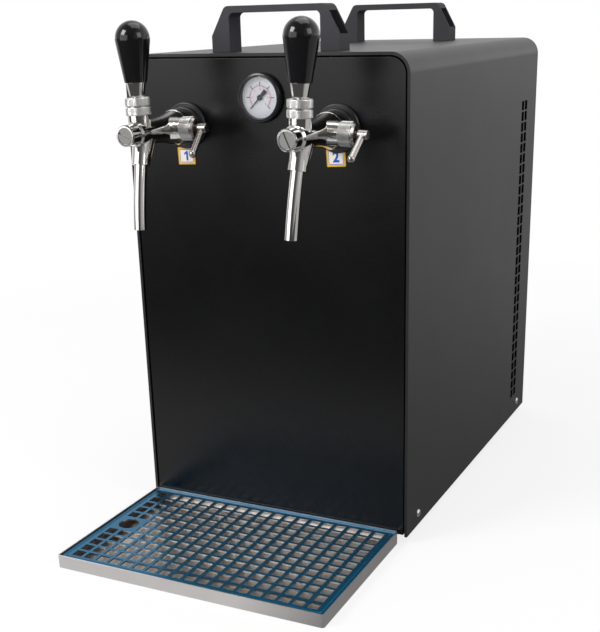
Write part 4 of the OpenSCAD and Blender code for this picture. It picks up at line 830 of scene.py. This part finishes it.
floorLook = dict(size=40.0, tone=(0.9, 0.9, 0.9), seen=0.8, near=0.5, far=1.4, frontGlowInReflections=0.07,
                 backGlowInReflections=0.68, darkY=-0.8, darkRun=0.4, sideX=0.05, sideRun=0.1, sideDim=0.7,
                 sideNear=0.15, sideFar=1.4, sideFade=0.6)
bm = bmesh.new()
bmesh.ops.create_grid(bm, x_segments=1, y_segments=1, size=floorLook["size"])
floorMesh = bpy.data.meshes.new("floor")
bm.to_mesh(floorMesh)
bm.free()
floor = linked("floor", floorMesh, whiteFloor(floorLook))


# white to the camera; in the metal and the gloss a dim room with a bright far wall and white side walls
def studioWorld(look):
    world = bpy.data.worlds.new("studio")
    bpy.context.scene.world = world
    world.use_nodes = True
    tree = world.node_tree
    tree.nodes.clear()
    sock = Sock(tree)
    facing = sock.make("ShaderNodeTexCoord", out="Generated")
    x, y, z = [sock.make("ShaderNodeSeparateXYZ", None, {"Vector": facing}, out=axis) for axis in "XYZ"]
    back = (y * look["backSlope"] + look["backFrom"]).clamped()
    over = (z * look["overSlope"]).clamped()
    left = (x * -look["wallSlope"] - look["wallFrom"]).clamped()
    right = (x * look["wallSlope"] - look["wallFrom"]).clamped()
    band = (1 - sock.maths("ABSOLUTE", z) * look["bandSlope"]).clamped() * back  # just above the floor
    room = look["low"] + back * look["back"] + over * look["over"] + band * look["band"]
    room = room + (left + right) * look["walls"]
    camera = sock.make("ShaderNodeLightPath", out="Is Camera Ray")
    glass = sock.make("ShaderNodeLightPath", out="Is Transmission Ray")
    seen = (camera + glass).clamped()
    strength = seen + (1 - seen) * room
    light = sock.make("ShaderNodeBackground", None, {"Color": colour(1, 1, 1), "Strength": strength})
    sock.plug(tree.nodes.new("ShaderNodeOutputWorld").inputs["Surface"], light)


studioWorld(dict(low=0.05, back=0.88, backSlope=1.1, backFrom=0.15, over=0.12, overSlope=1.2,
                 band=0.6, bandSlope=4, walls=0.4, wallSlope=2.5, wallFrom=1.3))

lamps = {  # place, aim, size and power of each soft box
    "keyLeft": dict(at=(-1.2, -1.7, 1.8), aim=(0.0, -0.15, 0.35), size=(1.0, 1.0), power=38),
    "frontSoft": dict(at=(-1.05, -2.1, 0.82), aim=(0.0, -0.15, 0.4), size=(2.2, 1.2), power=15),
    "fillRight": dict(at=(1.9, -0.5, 1.3), aim=(0.0, 0.05, 0.25), size=(1.0, 1.0), power=9),
    "overhead": dict(at=(0.1, 0.2, 2.1), aim=(0.0, 0.05, 0.3), size=(1.4, 1.4), power=11),
}
for name, look in lamps.items():
    data = bpy.data.lights.new(name, "AREA")
    data.shape = "RECTANGLE"
    data.size, data.size_y = look["size"]
    data.energy = look["power"]
    lamp = bpy.data.objects.new(name, data)
    lamp.location = look["at"]
    lamp.rotation_euler = (Vector(look["aim"]) - Vector(look["at"])).to_track_quat("-Z", "Y").to_euler()
    bpy.context.scene.collection.objects.link(lamp)
print("floor, world and", len(lamps), "lamps")

# camera at the photograph's viewing angle; focal length, centre and frame are in its pixels
shot = dict(focal=1093.0, turn=26.43, rise=19.34, roll=-1.53, at=(0.5331, -1.1482, 0.5412), centre=(300, 400),
            frame=(600, 632), sensor=36)
longSide = max(shot["frame"])
camData = bpy.data.cameras.new("shot")
camData.sensor_width = shot["sensor"]
camData.sensor_fit = "AUTO"
camData.lens = shot["focal"] * shot["sensor"] / longSide
camData.shift_x = (shot["frame"][0] / 2 - shot["centre"][0]) / longSide
camData.shift_y = (shot["centre"][1] - shot["frame"][1] / 2) / longSide
turn, rise, roll = [math.radians(shot[key]) for key in ("turn", "rise", "roll")]
ahead = Vector((-math.sin(turn) * math.cos(rise), math.cos(turn) * math.cos(rise), -math.sin(rise)))
camera = bpy.data.objects.new("shot", camData)
camera.location = shot["at"]
camera.rotation_mode = "QUATERNION"
camera.rotation_quaternion = ahead.to_track_quat("-Z", "Y") @ Quaternion((0, 0, 1), roll)
bpy.context.scene.collection.objects.link(camera)
bpy.context.scene.camera = camera
bpy.context.scene.view_settings.view_transform = "Standard"
print("camera lens", round(camData.lens, 2), "shift", round(camData.shift_x, 3), round(camData.shift_y, 3))
